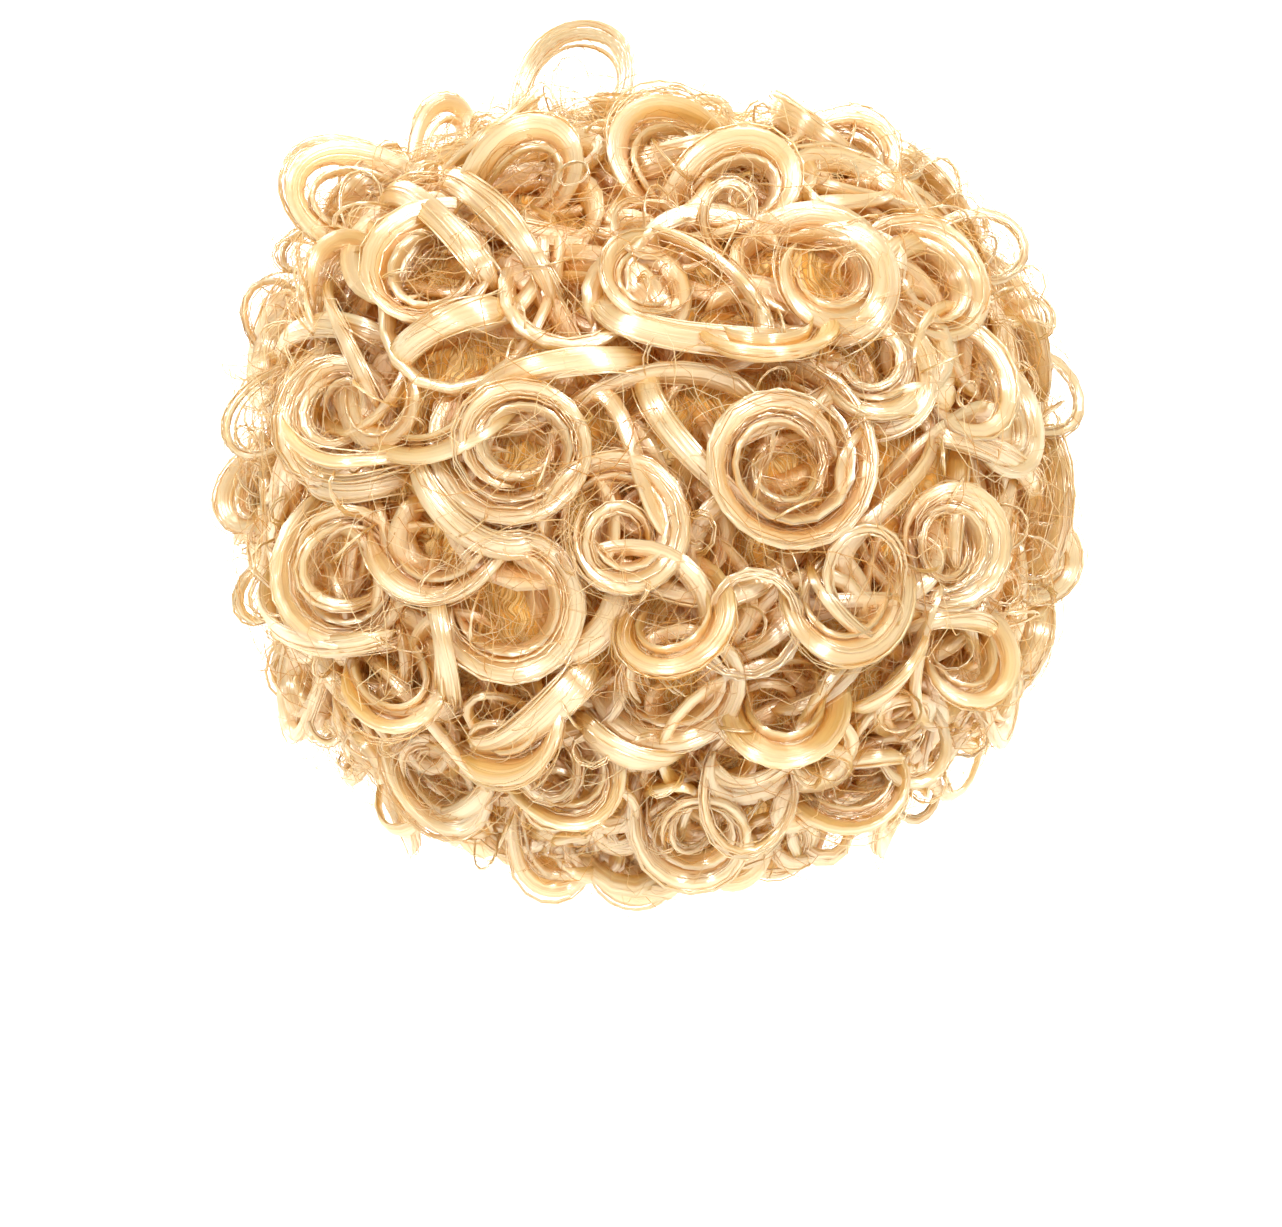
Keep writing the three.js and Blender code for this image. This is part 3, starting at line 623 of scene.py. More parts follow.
def curl_line(curls, s, out_by=0.0, up_by=0.0):
    """Points of each curl at shares s of its length: a ring that closes slowly, laid over the round of the
    layer, with its root under it by the dive times (1 less s) cubed, and its tip eased a little under. out_by
    and up_by add to it radially and along the normal. Returns points, ring axes, outward directions and
    tangents."""
    if "path" in curls:
        return band_line(curls, s, out_by, up_by)
    c = {key: value[:, None] for key, value in curls.items() if key != "zone"}
    s = np.broadcast_to(s, (len(curls["zone"]), s.shape[-1]))[..., None]
    angle = c["start"] + 2 * math.pi * c["turns"] * s
    outward = c["right"] * np.cos(angle) + c["up"] * np.sin(angle)
    oval = 1 + c["wobble"] * np.sin(2 * angle + c["phase"])
    radius = c["radius"] * oval * (1 + c["flare"] * (1 - s) ** 2 - c["shrink"] * s) + out_by
    offset = outward * radius
    height = dot(offset, c["normal"])
    level = c["middle"] + offset - c["normal"] * height
    draped = level + (onto(LAYER, level, reach(LAYER, c["middle"])) - level) * c["drape"]
    late = np.clip(2 * s - 1, 0, 1)
    sunk = c["dive"] * (1 - s) ** 3 + c["tip"] * late ** 2 * (3 - 2 * late)
    points = draped + c["normal"] * (height - sunk + up_by)
    return points, c["axis"], outward, unit(np.gradient(points, axis=1))


def band_line(curls, s, out_by, up_by):
    """Points of each band at shares s of its length: the cubic through its four places, drawn onto the layer
    and lifted, with each end under it by the dive times the fourth power of the way to that end."""
    s = np.broadcast_to(s, (len(curls["zone"]), s.shape[-1]))[..., None]
    knots = np.arange(4) / 3
    flat = 0
    for k in range(4):
        others = np.delete(knots, k)
        share = np.prod((s - others) / (knots[k] - others), -1, keepdims=True)
        flat = flat + curls["path"][:, k, None] * share
    points = onto(LAYER, flat)
    normal = normal_of(LAYER, points)
    outward = np.cross(normal, unit(np.gradient(points, axis=1)))
    ends = (1 - s) ** 4 + s ** 4
    height = curls["lift"][:, None] - curls["dive"][:, None] * ends + up_by
    points = points + normal * height + outward * out_by
    return points, normal, outward, unit(np.gradient(points, axis=1))


# Closed tubes, as whole arrays


def grid_quads(i, j, j2, across):
    """The quads between row i and the next, from columns j to j2, where a row is so many points across."""
    low, high = i * across, (i + 1) * across
    return np.stack([low + j, low + j2, high + j2, high + j], -1).reshape(-1, 4)


def tube_arrays(points, flat, thin, half_width, half_thickness, sides, tint, ridge=None):
    """Tubes along centre lines: each ring of points is centre + flat times width times cos + thin times
    thickness times sin, times the ridge factor. Each end closes on a pole. Texture coordinates are metres
    round and along the lock. Returns a dict of arrays whose first axis is the tube."""
    tubes, steps, _ = points.shape
    around = np.arange(sides) / sides * 2 * math.pi
    shape = 1.0 if ridge is None else ridge
    cos = (np.cos(around) * shape)[..., None]
    sin = (np.sin(around) * shape)[..., None]
    wide = half_width[..., None, None]
    thick = half_thickness[..., None, None]
    body = points[:, :, None] + flat[:, :, None] * wide * cos + thin[:, :, None] * thick * sin
    ends = points[:, [0, -1]]
    verts = np.concatenate([body.reshape(tubes, steps * sides, 3), ends], axis=1)

    i, j = np.meshgrid(np.arange(steps - 1), np.arange(sides), indexing="ij")
    j2 = (j + 1) % sides
    quads = grid_quads(i, j, j2, sides)
    k = np.arange(sides)
    k2 = (k + 1) % sides
    last_ring = (steps - 1) * sides
    first = np.stack([np.full(sides, steps * sides), k2, k], -1)
    last = np.stack([np.full(sides, steps * sides + 1), last_ring + k, last_ring + k2], -1)
    tris = np.concatenate([first, last])

    steps_long = np.linalg.norm(np.diff(points, axis=1), axis=-1)
    length = np.concatenate([np.zeros((tubes, 1)), np.cumsum(steps_long, 1)], 1)
    girth = 4 * np.maximum(half_width, half_thickness).max(axis=1)
    origin = rng.uniform(0, 3, (tubes, 1, 2))
    u = np.stack([j, j + 1, j + 1, j], -1).reshape(-1, 4) / sides
    v = np.stack([i, i, i + 1, i + 1], -1).reshape(-1, 4)
    quad_uv = np.stack([u[None] * girth[:, None, None], length[:, v]], -1) + origin[:, :, None]
    tri_u = np.stack([k + 0.5, k + 1.0, k], -1) / sides
    tri_u = np.concatenate([tri_u, np.stack([k + 0.5, k, k + 1.0], -1) / sides])
    tri_v = np.concatenate([np.zeros((sides, 3), int), np.full((sides, 3), steps - 1)])
    tri_uv = np.stack([tri_u[None] * girth[:, None, None], length[:, tri_v]], -1) + origin[:, :, None]
    return {"verts": verts, "quads": quads, "tris": tris, "quad_uv": quad_uv, "tri_uv": tri_uv, "tint": tint}


def drawn_in(points):
    """The points with their across share less towards the nape, where the hair narrows to the neck: by the
    narrowing times the square of the way down."""
    down = np.clip((NARROW_FROM - points[:, 2]) / NARROW_RUN, 0, 1)
    return points * np.stack([1 - NARROW_BY * down ** 2, np.ones_like(down), np.ones_like(down)], -1)


def mesh_piece(name, batches, material, narrow=True):
    """One mesh object from batches of tubes or sheets, drawn in towards the nape where it is hair. It writes
    points, faces, texture coordinates, and two attributes: tint, one value a lock, and depth, which is 0 on
    the curl layer and 1 far under it, and is less at the open rim. The hair materials paint shade by the
    depth, where the hair lies deep under the curls."""
    points, loops, sizes, uvs, tints = [], [], [], [], []
    start = 0
    for batch in batches:
        tubes, count, _ = batch["verts"].shape
        if tubes == 0:
            continue
        points.append(batch["verts"].reshape(-1, 3))
        base = start + np.arange(tubes)[:, None, None] * count
        kinds = ((batch["quads"], batch["quad_uv"], 4), (batch["tris"], batch["tri_uv"], 3))
        for faces, uv, corners in kinds:
            if len(faces):
                loops.append((faces[None] + base).reshape(-1))
                uvs.append(uv.reshape(-1, 2))
                sizes.append(np.full(tubes * len(faces), corners))
        tints.append(np.repeat(batch["tint"], count))
        start += tubes * count
    points, loops, sizes = np.concatenate(points), np.concatenate(loops), np.concatenate(sizes)
    # Depth under the curl layer, less near the open rim; the materials paint shade by it.
    under = (1 - reach(LAYER, points)[:, 0]) * 0.13
    above_rim = (hairline(3, bearing_of(points)) - polar_of(points)) / RIM_SHADE
    depth = np.clip((under - 3 * MM) / (24 * MM), 0, 1) * (0.25 + 0.75 * np.clip(above_rim, 0, 1))
    if narrow:
        points = drawn_in(points)
    mesh = bpy.data.meshes.new(name)
    mesh.vertices.add(len(points))
    mesh.vertices.foreach_set("co", points.astype(np.float32).ravel())
    mesh.loops.add(len(loops))
    mesh.loops.foreach_set("vertex_index", loops.astype(np.int32))
    mesh.polygons.add(len(sizes))
    mesh.polygons.foreach_set("loop_start", np.concatenate([[0], np.cumsum(sizes)[:-1]]).astype(np.int32))
    mesh.polygons.foreach_set("use_smooth", np.full(len(sizes), True))
    mesh.uv_layers.new(name="fibres").data.foreach_set("uv", np.concatenate(uvs).astype(np.float32).ravel())
    for key, values in (("tint", np.concatenate(tints)), ("depth", depth)):
        mesh.attributes.new(key, "FLOAT", "POINT").data.foreach_set("value", values.astype(np.float32))
    mesh.update(calc_edges=True)
    mesh.validate()
    piece = bpy.data.objects.new(name, mesh)
    bpy.context.scene.collection.objects.link(piece)
    mesh.materials.append(material)
    return piece


def section_roll(curls, s):
    """The turn of a lock's flat section from the ring's axis towards its outside: its own roll, swinging by
    the twist once or so along it."""
    return curls["roll"] + TWIST * np.sin(2 * math.pi * s + curls["phase"])


def lock_batch(curls, steps, sides, width, thickness, ridges=0.0, ends=(0.0, 1.0), taper=None, out_by=0.0,
               up_by=0.0, roll=None):
    """Locks with a flat rounded section that closes to a point at both ends. The wide way of the section is
    the ring's axis turned by the section's roll. Ridges are sums of cosines round the section that drift
    slowly along the lock."""
    n = len(curls["zone"])
    s = np.linspace(0, 1, steps)[None] * (ends[1] - ends[0]) + ends[0]
    s = np.broadcast_to(s, (n, steps))
    points, axis, outward, tangent = curl_line(curls, s, out_by, up_by)
    turn = (section_roll(curls, s) if roll is None else np.full(s.shape, roll))[..., None]
    flat = axis * np.cos(turn) + outward * np.sin(turn)
    flat = unit(flat - tangent * dot(flat, tangent))
    thin = np.cross(tangent, flat)
    v = np.linspace(0, 1, steps)
    root, tip = taper or (0.1, curls["close"])
    size = np.clip(np.minimum(v / root, (1 - v) / tip), 0.02, 1) ** 0.7
    ridge = None
    if ridges:
        around = np.arange(sides) / sides * 2 * math.pi
        ridge = np.ones((n, steps, sides))
        for waves, share in ((2, 0.8), (3, 0.6), (5, 0.9), (8, 1.0)):
            phase = rng.uniform(0, 2 * math.pi, (n, 1, 1))
            drift = rng.uniform(-2.5, 2.5, (n, 1, 1)) * v[None, :, None]
            ridge += ridges * share * np.cos(waves * around + phase + drift * waves / 4)
    return tube_arrays(points, flat, thin, width * size, thickness * size, sides, rng.uniform(0, 1, n), ridge)


def satellites(curls, each, steps, sides, size, away, drift, flatness=0.45, apart=0.2):
    """Strands round each lock: each runs on the lock's surface, at an angle round it that drifts along it,
    a share away from its middle, wanders a little in and out, and starts and ends apart from it."""
    loose = chosen(curls, np.repeat(np.arange(len(curls["zone"])), each))
    n = len(loose["zone"])
    s = np.linspace(0, 1, steps)[None]
    wide, thick = widths(loose)
    angle = rng.uniform(0, 2 * math.pi, (n, 1)) + rng.uniform(-drift, drift, (n, 1)) * s
    swing = np.sin(2 * math.pi * (s * rng.uniform(0.5, 1.5, (n, 1)) + rng.uniform(0, 1, (n, 1))))
    fan = rng.uniform(0, 0.9, (n, 1)) * np.clip(s * 4 - 3, 0, 1) ** 2
    share = rng.uniform(*away, (n, 1)) * (1 + apart * swing + fan)
    a, b = wide * np.cos(angle) * share, thick * np.sin(angle) * share
    roll = section_roll(loose, s)
    out_by = (a * np.sin(roll) + b * np.cos(roll))[..., None]
    up_by = (a * np.cos(roll) - b * np.sin(roll))[..., None]
    loose["start"] = loose["start"] + rng.uniform(-0.22, 0.22, (n, 1))
    half = rng.uniform(*size, (n, 1))
    return lock_batch(loose, steps, sides, half, half * flatness, taper=(0.2, 0.2), out_by=out_by,
                      up_by=up_by)


def ring_hairs(curls, each, steps, sides):
    """Single hairs that curl along inside each ring: each a share of the radius in, off its middle and a
    little lower."""
    loose = chosen(curls, np.repeat(np.arange(len(curls["zone"])), each))
    n = len(loose["zone"])
    inward = rng.uniform(0.1, 0.6, (n, 1, 1)) * loose["radius"][:, None]
    side = rng.uniform(0, 2 * math.pi, (n, 1))
    aside = loose["right"] * np.cos(side) + loose["up"] * np.sin(side)
    loose["middle"] = loose["middle"] + aside * rng.uniform(0, 0.5, (n, 1)) * loose["radius"]
    loose["turns"] = loose["turns"] * rng.uniform(0.3, 1, (n, 1))
    loose["start"] = loose["start"] + rng.uniform(-3, 3, (n, 1))
    loose["wobble"] = rng.uniform(0, 0.15, (n, 1))
    half = rng.uniform(0.1 * MM, 0.2 * MM, (n, 1))
    return lock_batch(loose, steps, sides, half, half, taper=(0.3, 0.3), out_by=-inward,
                      up_by=-rng.uniform(0, 6 * MM, (n, 1, 1)))


def inner_walls(curls, steps, sides):
    """The lock's earlier turn, seen inside each ring: a thin ribbon set on edge, a share of the radius in."""
    inward = -0.2 * curls["radius"][:, None] - 0.1 * curls["lock"][:, None] * LOCK_WIDTH
    half = curls["lock"] * LOCK_WIDTH * 0.42
    return lock_batch(curls, steps, sides, half, half * 0.2, ridges=0.05, ends=(0.1, 0.97), out_by=inward,
                      up_by=-2.5 * MM, roll=math.radians(14))


def widths(curls):
    """Half width and half thickness of each lock, as columns."""
    thickness = np.minimum(1, curls["lock"] + 0.2) * LOCK_THICKNESS / 2 * FLATTENED
    return curls["lock"] * LOCK_WIDTH / 2 * NARROWED, thickness


# Materials


def linear(code):
    """A hex sRGB colour as linear values."""
    channels = [int(code[i:i + 2], 16) / 255 for i in (1, 3, 5)]
    return tuple(c / 12.92 if c <= 0.04045 else ((c + 0.055) / 1.055) ** 2.4 for c in channels) + (1,)


def add_node(tree, kind, settings=None, **inputs):
    """A node of a kind with its settings, and inputs by name: a value is set, and a socket is linked."""
    node = tree.nodes.new(kind)
    for key, value in (settings or {}).items():
        setattr(node, key, value)
    for key, value in inputs.items():
        numbered = key[0] == "_" and key[1:].isdigit()
        socket = node.inputs[int(key[1:]) if numbered else key.replace("_", " ")]
        if isinstance(value, bpy.types.NodeSocket):
            tree.links.new(value, socket)
        else:
            socket.default_value = value
    return node


def sums(tree, operation, *values):
    """The result of a math operation on values in order."""
    inputs = {f"_{k}": value for k, value in enumerate(values)}
    return add_node(tree, "ShaderNodeMath", {"operation": operation}, **inputs).outputs[0]


def mixed(tree, share, first, second):
    """The way from the first colour to the second by a share. A hex colour is turned linear."""
    first, second = (linear(colour) if isinstance(colour, str) else colour for colour in (first, second))
    return add_node(tree, "ShaderNodeMix", {"data_type": "RGBA"}, _0=share, _6=first, _7=second).outputs[2]


def ramp(tree, value, low, high, start=0.0, end=1.0, kind="SMOOTHSTEP"):
    """Start where a value is low, end where it is high, and an eased way between."""
    span = {"From_Min": low, "From_Max": high, "To_Min": start, "To_Max": end}
    return add_node(tree, "ShaderNodeMapRange", {"interpolation_type": kind}, Value=value, **span).outputs[0]


def noise(tree, place, scale, detail, settings=None, output=0, **inputs):
    """Noise over places: its value, or its colour as output 1."""
    node = add_node(tree, "ShaderNodeTexNoise", settings, Vector=place, Scale=scale, Detail=detail, **inputs)
    return node.outputs[output]


def mapped(tree, place, scale, **inputs):
    """Places scaled, and turned if inputs say so."""
    return add_node(tree, "ShaderNodeMapping", None, Vector=place, Scale=scale, **inputs).outputs[0]


def waves(tree, place, way, scale, bend):
    """Bands across a direction, bent by noise."""
    return add_node(tree, "ShaderNodeTexWave", {"bands_direction": way}, Vector=place, Scale=scale,
                    Distortion=bend).outputs[1]


def fibre_places(tree):
    """Metres round and along each lock or sheet."""
    return add_node(tree, "ShaderNodeUVMap", {"uv_map": "fibres"}).outputs[0]


def attribute(tree, name):
    """The value of an attribute of the mesh."""
    return add_node(tree, "ShaderNodeAttribute", {"attribute_name": name}).outputs[2]


def wandering(tree, scale, distance):
    """Places in the object, each moved a distance by a slow noise."""
    place = add_node(tree, "ShaderNodeTexCoord").outputs["Object"]
    bend = noise(tree, place, scale, 1.0, output=1)
    times = {"operation": "MULTIPLY_ADD"}
    return add_node(tree, "ShaderNodeVectorMath", times, _0=bend, _1=(distance,) * 3, _2=place).outputs[0]


def threads(tree, place, turns, scale, low, high, detail):
    """Fine threads that cross: the highest of several noises, each turned and drawn out along its threads."""
    highest = 0.0
    for turn in turns:
        line = mapped(tree, place, scale, Rotation=turn)
        ridge = ramp(tree, noise(tree, line, 1.0, detail), low, high)
        highest = sums(tree, "MAXIMUM", ridge, highest)
    return highest


def bumped(tree, strength, distance, height):
    """A surface direction changed by a height."""
    node = add_node(tree, "ShaderNodeBump", None, Strength=strength, Distance=distance, Height=height)
    return node.outputs[0]


def blended(tree, share, first, second):
    """The way from the first shader to the second by a share."""
    return add_node(tree, "ShaderNodeMixShader", None, _0=share, _1=first.outputs[0], _2=second.outputs[0])


def new_material(name):
    """An empty material with an output node."""
    material = bpy.data.materials.new(name)
    material.use_nodes = True
    material.node_tree.nodes.clear()
    output = material.node_tree.nodes.new("ShaderNodeOutputMaterial")
    return material, material.node_tree, output


def hair_material(name, pale, golden, amber, umber):
    """Glossy synthetic hair: fine streaks along each lock between pale and golden with thin darker partings
    that are painted shade between the strands, a tint for each lock, and amber to umber painted shade with
    fine pale threads where the hair lies deep under the curls, where its gloss is also turned down. It is
    painted warmer and darker in the creases, as shade. The gloss is stretched across the fibres, and some
    light comes through them."""
    material, tree, output = new_material(name)
    uv = fibre_places(tree)
    flat = {"noise_dimensions": "2D"}
    wide = noise(tree, mapped(tree, uv, (480, 8, 1)), 1.0, 2.0, flat, Roughness=0.6)
    fine = noise(tree, mapped(tree, uv, (1250, 14, 1)), 1.0, 1.0, flat)
    # Painted shade: thin darker lines, #C8862C, in the partings between strands, which are also grooves in
    # the bump.
    parted = noise(tree, mapped(tree, uv, (330, 7, 1)), 1.0, 2.0, flat)
    off = sums(tree, "ABSOLUTE", sums(tree, "SUBTRACT", parted, 0.5))
    line = ramp(tree, off, 0.0, 0.028, 1.0, 0.0)
    streak = sums(tree, "MULTIPLY_ADD", wide, 2.2, -1.5)
    streak = sums(tree, "MULTIPLY_ADD", fine, 1.8, streak)
    tinted = sums(tree, "MULTIPLY_ADD", attribute(tree, "tint"), 0.4, streak)
    surface = mixed(tree, ramp(tree, tinted, 0.25, 1.3), pale, golden)
    surface = mixed(tree, sums(tree, "MULTIPLY", line, 0.55), surface, "#C8862C")
    # Painted shade: amber, then umber, where the hair lies deep under the curls, by the depth attribute; pale
    # threads of hair are laid over it.
    depth = attribute(tree, "depth")
    low = ramp(tree, depth, 0.0, 0.7)
    colour = mixed(tree, low, surface, amber)
    colour = mixed(tree, ramp(tree, depth, 0.55, 1.0), colour, umber)
    turns = ((0.4, 0.3, 0.6), (1.4, 0.5, 2.0), (2.3, 1.2, 0.3))
    fuzz = threads(tree, wandering(tree, 45.0, 0.03), turns, (1300, 50, 50), 0.6, 0.7, 0.0)
    fuzz = sums(tree, "MULTIPLY", fuzz, low)
    colour = mixed(tree, fuzz, colour, "#FFE4A4")
    # Painted shade: warmer, darker amber in the creases, where the ambient occlusion finds little open sky.
    open_sky = add_node(tree, "ShaderNodeAmbientOcclusion", {"samples": 4}, Distance=0.012).outputs[1]
    colour = mixed(tree, ramp(tree, open_sky, 0.1, 0.66, 0.85, 0.0), colour, "#FFA628")
    height = sums(tree, "ADD", sums(tree, "MULTIPLY_ADD", line, -0.8, streak), fuzz)
    bump = bumped(tree, 0.6, 0.0003, height)
    # Less gloss where the hair lies deep, to go with the painted shade there.
    sheen = sums(tree, "MULTIPLY_ADD", low, -0.5, 0.5)
    gloss_share = sums(tree, "MULTIPLY_ADD", low, -0.3, 0.4)
    tangent = add_node(tree, "ShaderNodeTangent", {"direction_type": "UV_MAP", "uv_map": "fibres"}).outputs[0]
    body = add_node(tree, "ShaderNodeBsdfPrincipled", None, Base_Color=colour, Roughness=0.4, IOR=1.55,
                    Anisotropic=0.9, Specular_IOR_Level=sheen, Normal=bump, Tangent=tangent)
    through = add_node(tree, "ShaderNodeBsdfTranslucent", None, Color=linear("#FFE89C"))
    soft_body = blended(tree, 0.56, body, through)
    gloss = add_node(tree, "ShaderNodeBsdfAnisotropic", None, Color=linear("#FFF6E2"), Roughness=0.34,
                     Anisotropy=-0.6, Normal=bump, Tangent=tangent)
    shader = blended(tree, gloss_share, soft_body, gloss)
    tree.links.new(shader.outputs[0], output.inputs[0])
    return material


def tangle_material():
    """Teased hair: fine pale fibres that cross in five directions over amber painted shade, as the blonde
    hair looks deep in the mass, darker between them.
    """
    material, tree, output = new_material("blonde hair, teased")
    place = wandering(tree, 70.0, 0.02)
    turns = ((0.3, 0.2, 0.5), (1.3, 0.4, 1.9), (2.2, 1.1, 0.2), (0.8, 2.0, 2.6), (2.8, 0.6, 1.2))
    fibres = threads(tree, place, turns, (1100, 60, 60), 0.56, 0.68, 1.0)
    # Painted shade: mottled amber under the fibres, for the blonde hair in shade deep in the teased mass.
    below = mixed(tree, noise(tree, place, 60.0, 2.0), "#D8943C", "#EAB45C")
    colour = mixed(tree, fibres, below, "#F4D08A")
    shader = add_node(tree, "ShaderNodeBsdfPrincipled", None, Base_Color=colour, Roughness=0.6,
                      Specular_IOR_Level=0.1, Normal=bumped(tree, 0.8, 0.001, fibres))
    tree.links.new(shader.outputs[0], output.inputs[0])
    return material


def fine_hair_material():
    """Single pale hairs: much of the light that falls on one comes through it. They are painted a little
    warmer where they lie deep, as shade.
    """
    material, tree, output = new_material("blonde hair, single")
    colour = mixed(tree, attribute(tree, "tint"), "#FFF6DA", "#E6BE74")
    # Painted shade: a little warmer where the hair lies deep.
    colour = mixed(tree, attribute(tree, "depth"), colour, "#F4BE6A")
    gloss = add_node(tree, "ShaderNodeBsdfPrincipled", None, Base_Color=colour, Roughness=0.4)
    through = add_node(tree, "ShaderNodeBsdfTranslucent", None, Color=colour)
    shader = blended(tree, 0.8, gloss, through)
    tree.links.new(shader.outputs[0], output.inputs[0])
    return material


def net_material():
    """Knitted cap net: a fine mesh of nylon threads in a skin tone, with rows where the hair is sewn."""
    material, tree, output = new_material("knitted nylon net")
    uv = fibre_places(tree)
    cells = mapped(tree, uv, (450, 450, 1))
    holes = add_node(tree, "ShaderNodeTexVoronoi", {"voronoi_dimensions": "2D"}, Vector=cells, Scale=1.0,
                     Randomness=0.15).outputs[0]
    rows = waves(tree, uv, "Y", 14.0, 0.3)
    sewn = ramp(tree, rows, 0.95, 0.985, kind="LINEAR")
    colour = mixed(tree, sewn, mixed(tree, holes, "#B98A5C", "#7A5433"), "#C89A62")
    bump = bumped(tree, 0.6, 0.0006, sums(tree, "MULTIPLY_ADD", sewn, 1.5, holes))
    shader = add_node(tree, "ShaderNodeBsdfPrincipled", None, Base_Color=colour, Roughness=0.85, Normal=bump)
    tree.links.new(shader.outputs[0], output.inputs[0])
    return material


def elastic_material():
    """Woven elastic tape: fine ribs along the tape crossed by its weft, with a soft dull finish."""
    material, tree, output = new_material("woven elastic tape")
    uv = fibre_places(tree)
    both = sums(tree, "MULTIPLY", waves(tree, uv, "Y", 320.0, 0.4), waves(tree, uv, "X", 420.0, 0.6))
    colour = mixed(tree, both, "#A77F55", "#D9B98C")
    bump = bumped(tree, 0.5, 0.0004, both)
    shader = add_node(tree, "ShaderNodeBsdfPrincipled", None, Base_Color=colour, Roughness=0.8, Normal=bump)
    tree.links.new(shader.outputs[0], output.inputs[0])
    return material


def plain_material(name, colour, roughness):
    """A dull surface with very faint mottling, for the floor and the backdrop."""
    material, tree, output = new_material(name)
    place = add_node(tree, "ShaderNodeTexCoord").outputs["Object"]
    shade = mixed(tree, noise(tree, place, 3.0, 2.0), *colour)
    shader = add_node(tree, "ShaderNodeBsdfPrincipled", None, Base_Color=shade, Roughness=roughness)
    tree.links.new(shader.outputs[0], output.inputs[0])
    return material


# The cap, its band and the teased base


def sheet_batch(grid):
    """A closed sheet from a grid of points (rows, columns, 3), joined round its columns, with its first and
    last rows on poles. Texture coordinates are metres across the widest row and along the columns. Its tint
    is the middle one."""
    rows, columns, _ = grid.shape
    i, j = np.meshgrid(np.arange(rows - 1), np.arange(columns), indexing="ij")
    j2 = (j + 1) % columns
    quads = grid_quads(i, j, j2, columns)
    run = np.concatenate([[0], np.cumsum(np.linalg.norm(np.diff(grid, axis=0), axis=-1).mean(axis=1))])
    girth = np.linalg.norm(np.diff(grid, axis=1), axis=-1).sum(axis=1).max()
    u = np.stack([j, j + 1, j + 1, j], -1).reshape(-1, 4) / columns * girth
    v = run[np.stack([i, i, i + 1, i + 1], -1).reshape(-1, 4)]
    return {
        "verts": grid.reshape(1, -1, 3), "quads": quads, "tris": np.zeros((0, 3), int),
        "quad_uv": np.stack([u, v], -1)[None], "tri_uv": np.zeros((1, 0, 3, 2)), "tint": np.array([0.5]),
    }


def weld(piece):
    """Joins the points of a pole row into one."""
    bm = bmesh.new()
    bm.from_mesh(piece.data)
    bmesh.ops.remove_doubles(bm, verts=bm.verts, dist=1e-6)
    bmesh.ops.dissolve_degenerate(bm, edges=bm.edges, dist=1e-7)
    bmesh.ops.recalc_face_normals(bm, faces=bm.faces)
    bm.to_mesh(piece.data)
    bm.free()


def dome_grid(inner, outer, ends, columns, rows, relief=None, further=0):
    """A dome with a thick wall as one grid: down the inner face from the top, across the rim and back up the
    outer face. The faces end at two columns of the hairline, the outer one some degrees further. relief gives
    how far each outer point moves along its normal."""
    bearing = np.linspace(-180, 180, columns, endpoint=False)[None]
    down = np.linspace(0, 1, rows)[:, None]
    inside = at_angles(inner, bearing + 0 * down, down * hairline(ends[0], bearing))
    outside = at_angles(outer, bearing + 0 * down, down[::-1] * (hairline(ends[1], bearing) + further))
    if relief is not None:
        outside = outside + normal_of(outer, outside) * relief(outside)
    return np.concatenate([inside, outside])


cap_grid = dome_grid(HEAD, grown(HEAD, CAP_WALL), (1, 1), 72, 20)
cap = mesh_piece("cap_net_dome", [sheet_batch(cap_grid)], net_material(), narrow=False)
weld(cap)
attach(cap, "root")
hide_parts("cap_dome")


def band_grid(columns):
    """The elastic band: a rounded oblong section carried round the hairline just under the cap's edge."""
    bearing = np.linspace(-180, 180, columns, endpoint=False)[None]
    gap = math.degrees(BAND_GAP / HEAD[2])
    high = math.degrees(BAND_HEIGHT / HEAD[2])
    corners = ((0, 0.2), (0, 0.8), (0.15, 1), (0.85, 1), (1, 0.8), (1, 0.2), (0.85, 0), (0.15, 0))
    rows = []
    for out, down in corners:
        polar = hairline(1, bearing[0]) + gap * 1.5 + high * down
        rows.append(at_angles(grown(HEAD, BAND_WALL * out), bearing[0], polar))
    return np.stack(rows)


band_points = band_grid(200)
band_batch = sheet_batch(np.concatenate([band_points, band_points[:1]]))
band = mesh_piece("elastic_edge_band", [band_batch], elastic_material(), narrow=False)
weld(band)
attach(band, "root")
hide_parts("edge_band")


def base_relief(points):
    """Soft tufts of the teased base: a sum of sines of the position, and fuller towards the nape."""
    x, y, z = (points[..., k:k + 1] * 1000 for k in range(3))
    large = np.sin(x / 7 + 2 * np.sin(z / 11)) * np.sin(z / 6 + 1.5 * np.sin(y / 9))
    small = 0.6 * np.sin(x / 3.1 + y / 4) * np.sin(z / 2.7 + y / 5)
    low = np.clip((-150 - z) / 42, 0, 1)
    return (large + small) * 2.2 * MM + low ** 2 * 16 * MM


base_grid = dome_grid(base_inner, base_outer, (2, 3), 110, 28, base_relief, further=1)
base = mesh_piece("teased_base", [sheet_batch(base_grid)], tangle_material())
weld(base)
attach(base, "root")

# The hair

# Surface pale and golden, then deep amber and umber painted shade, for each zone. The crown and fringe are
# painted a little lighter and the nape a little darker, as light and shade.
BRIGHT = ("#F3E0A0", "#DDB862", "#FFC258", "#FFA630")
MIDDLE = ("#F2DE9C", "#DCB660", "#FFC054", "#FFA42E")
SHADED = ("#F0DC98", "#DAB45C", "#FFBE50", "#FFA22A")
HAIR_COLOURS = {
    "crown": BRIGHT, "back": MIDDLE, "nape": SHADED, "left": MIDDLE, "right": MIDDLE, "fringe": BRIGHT,
}

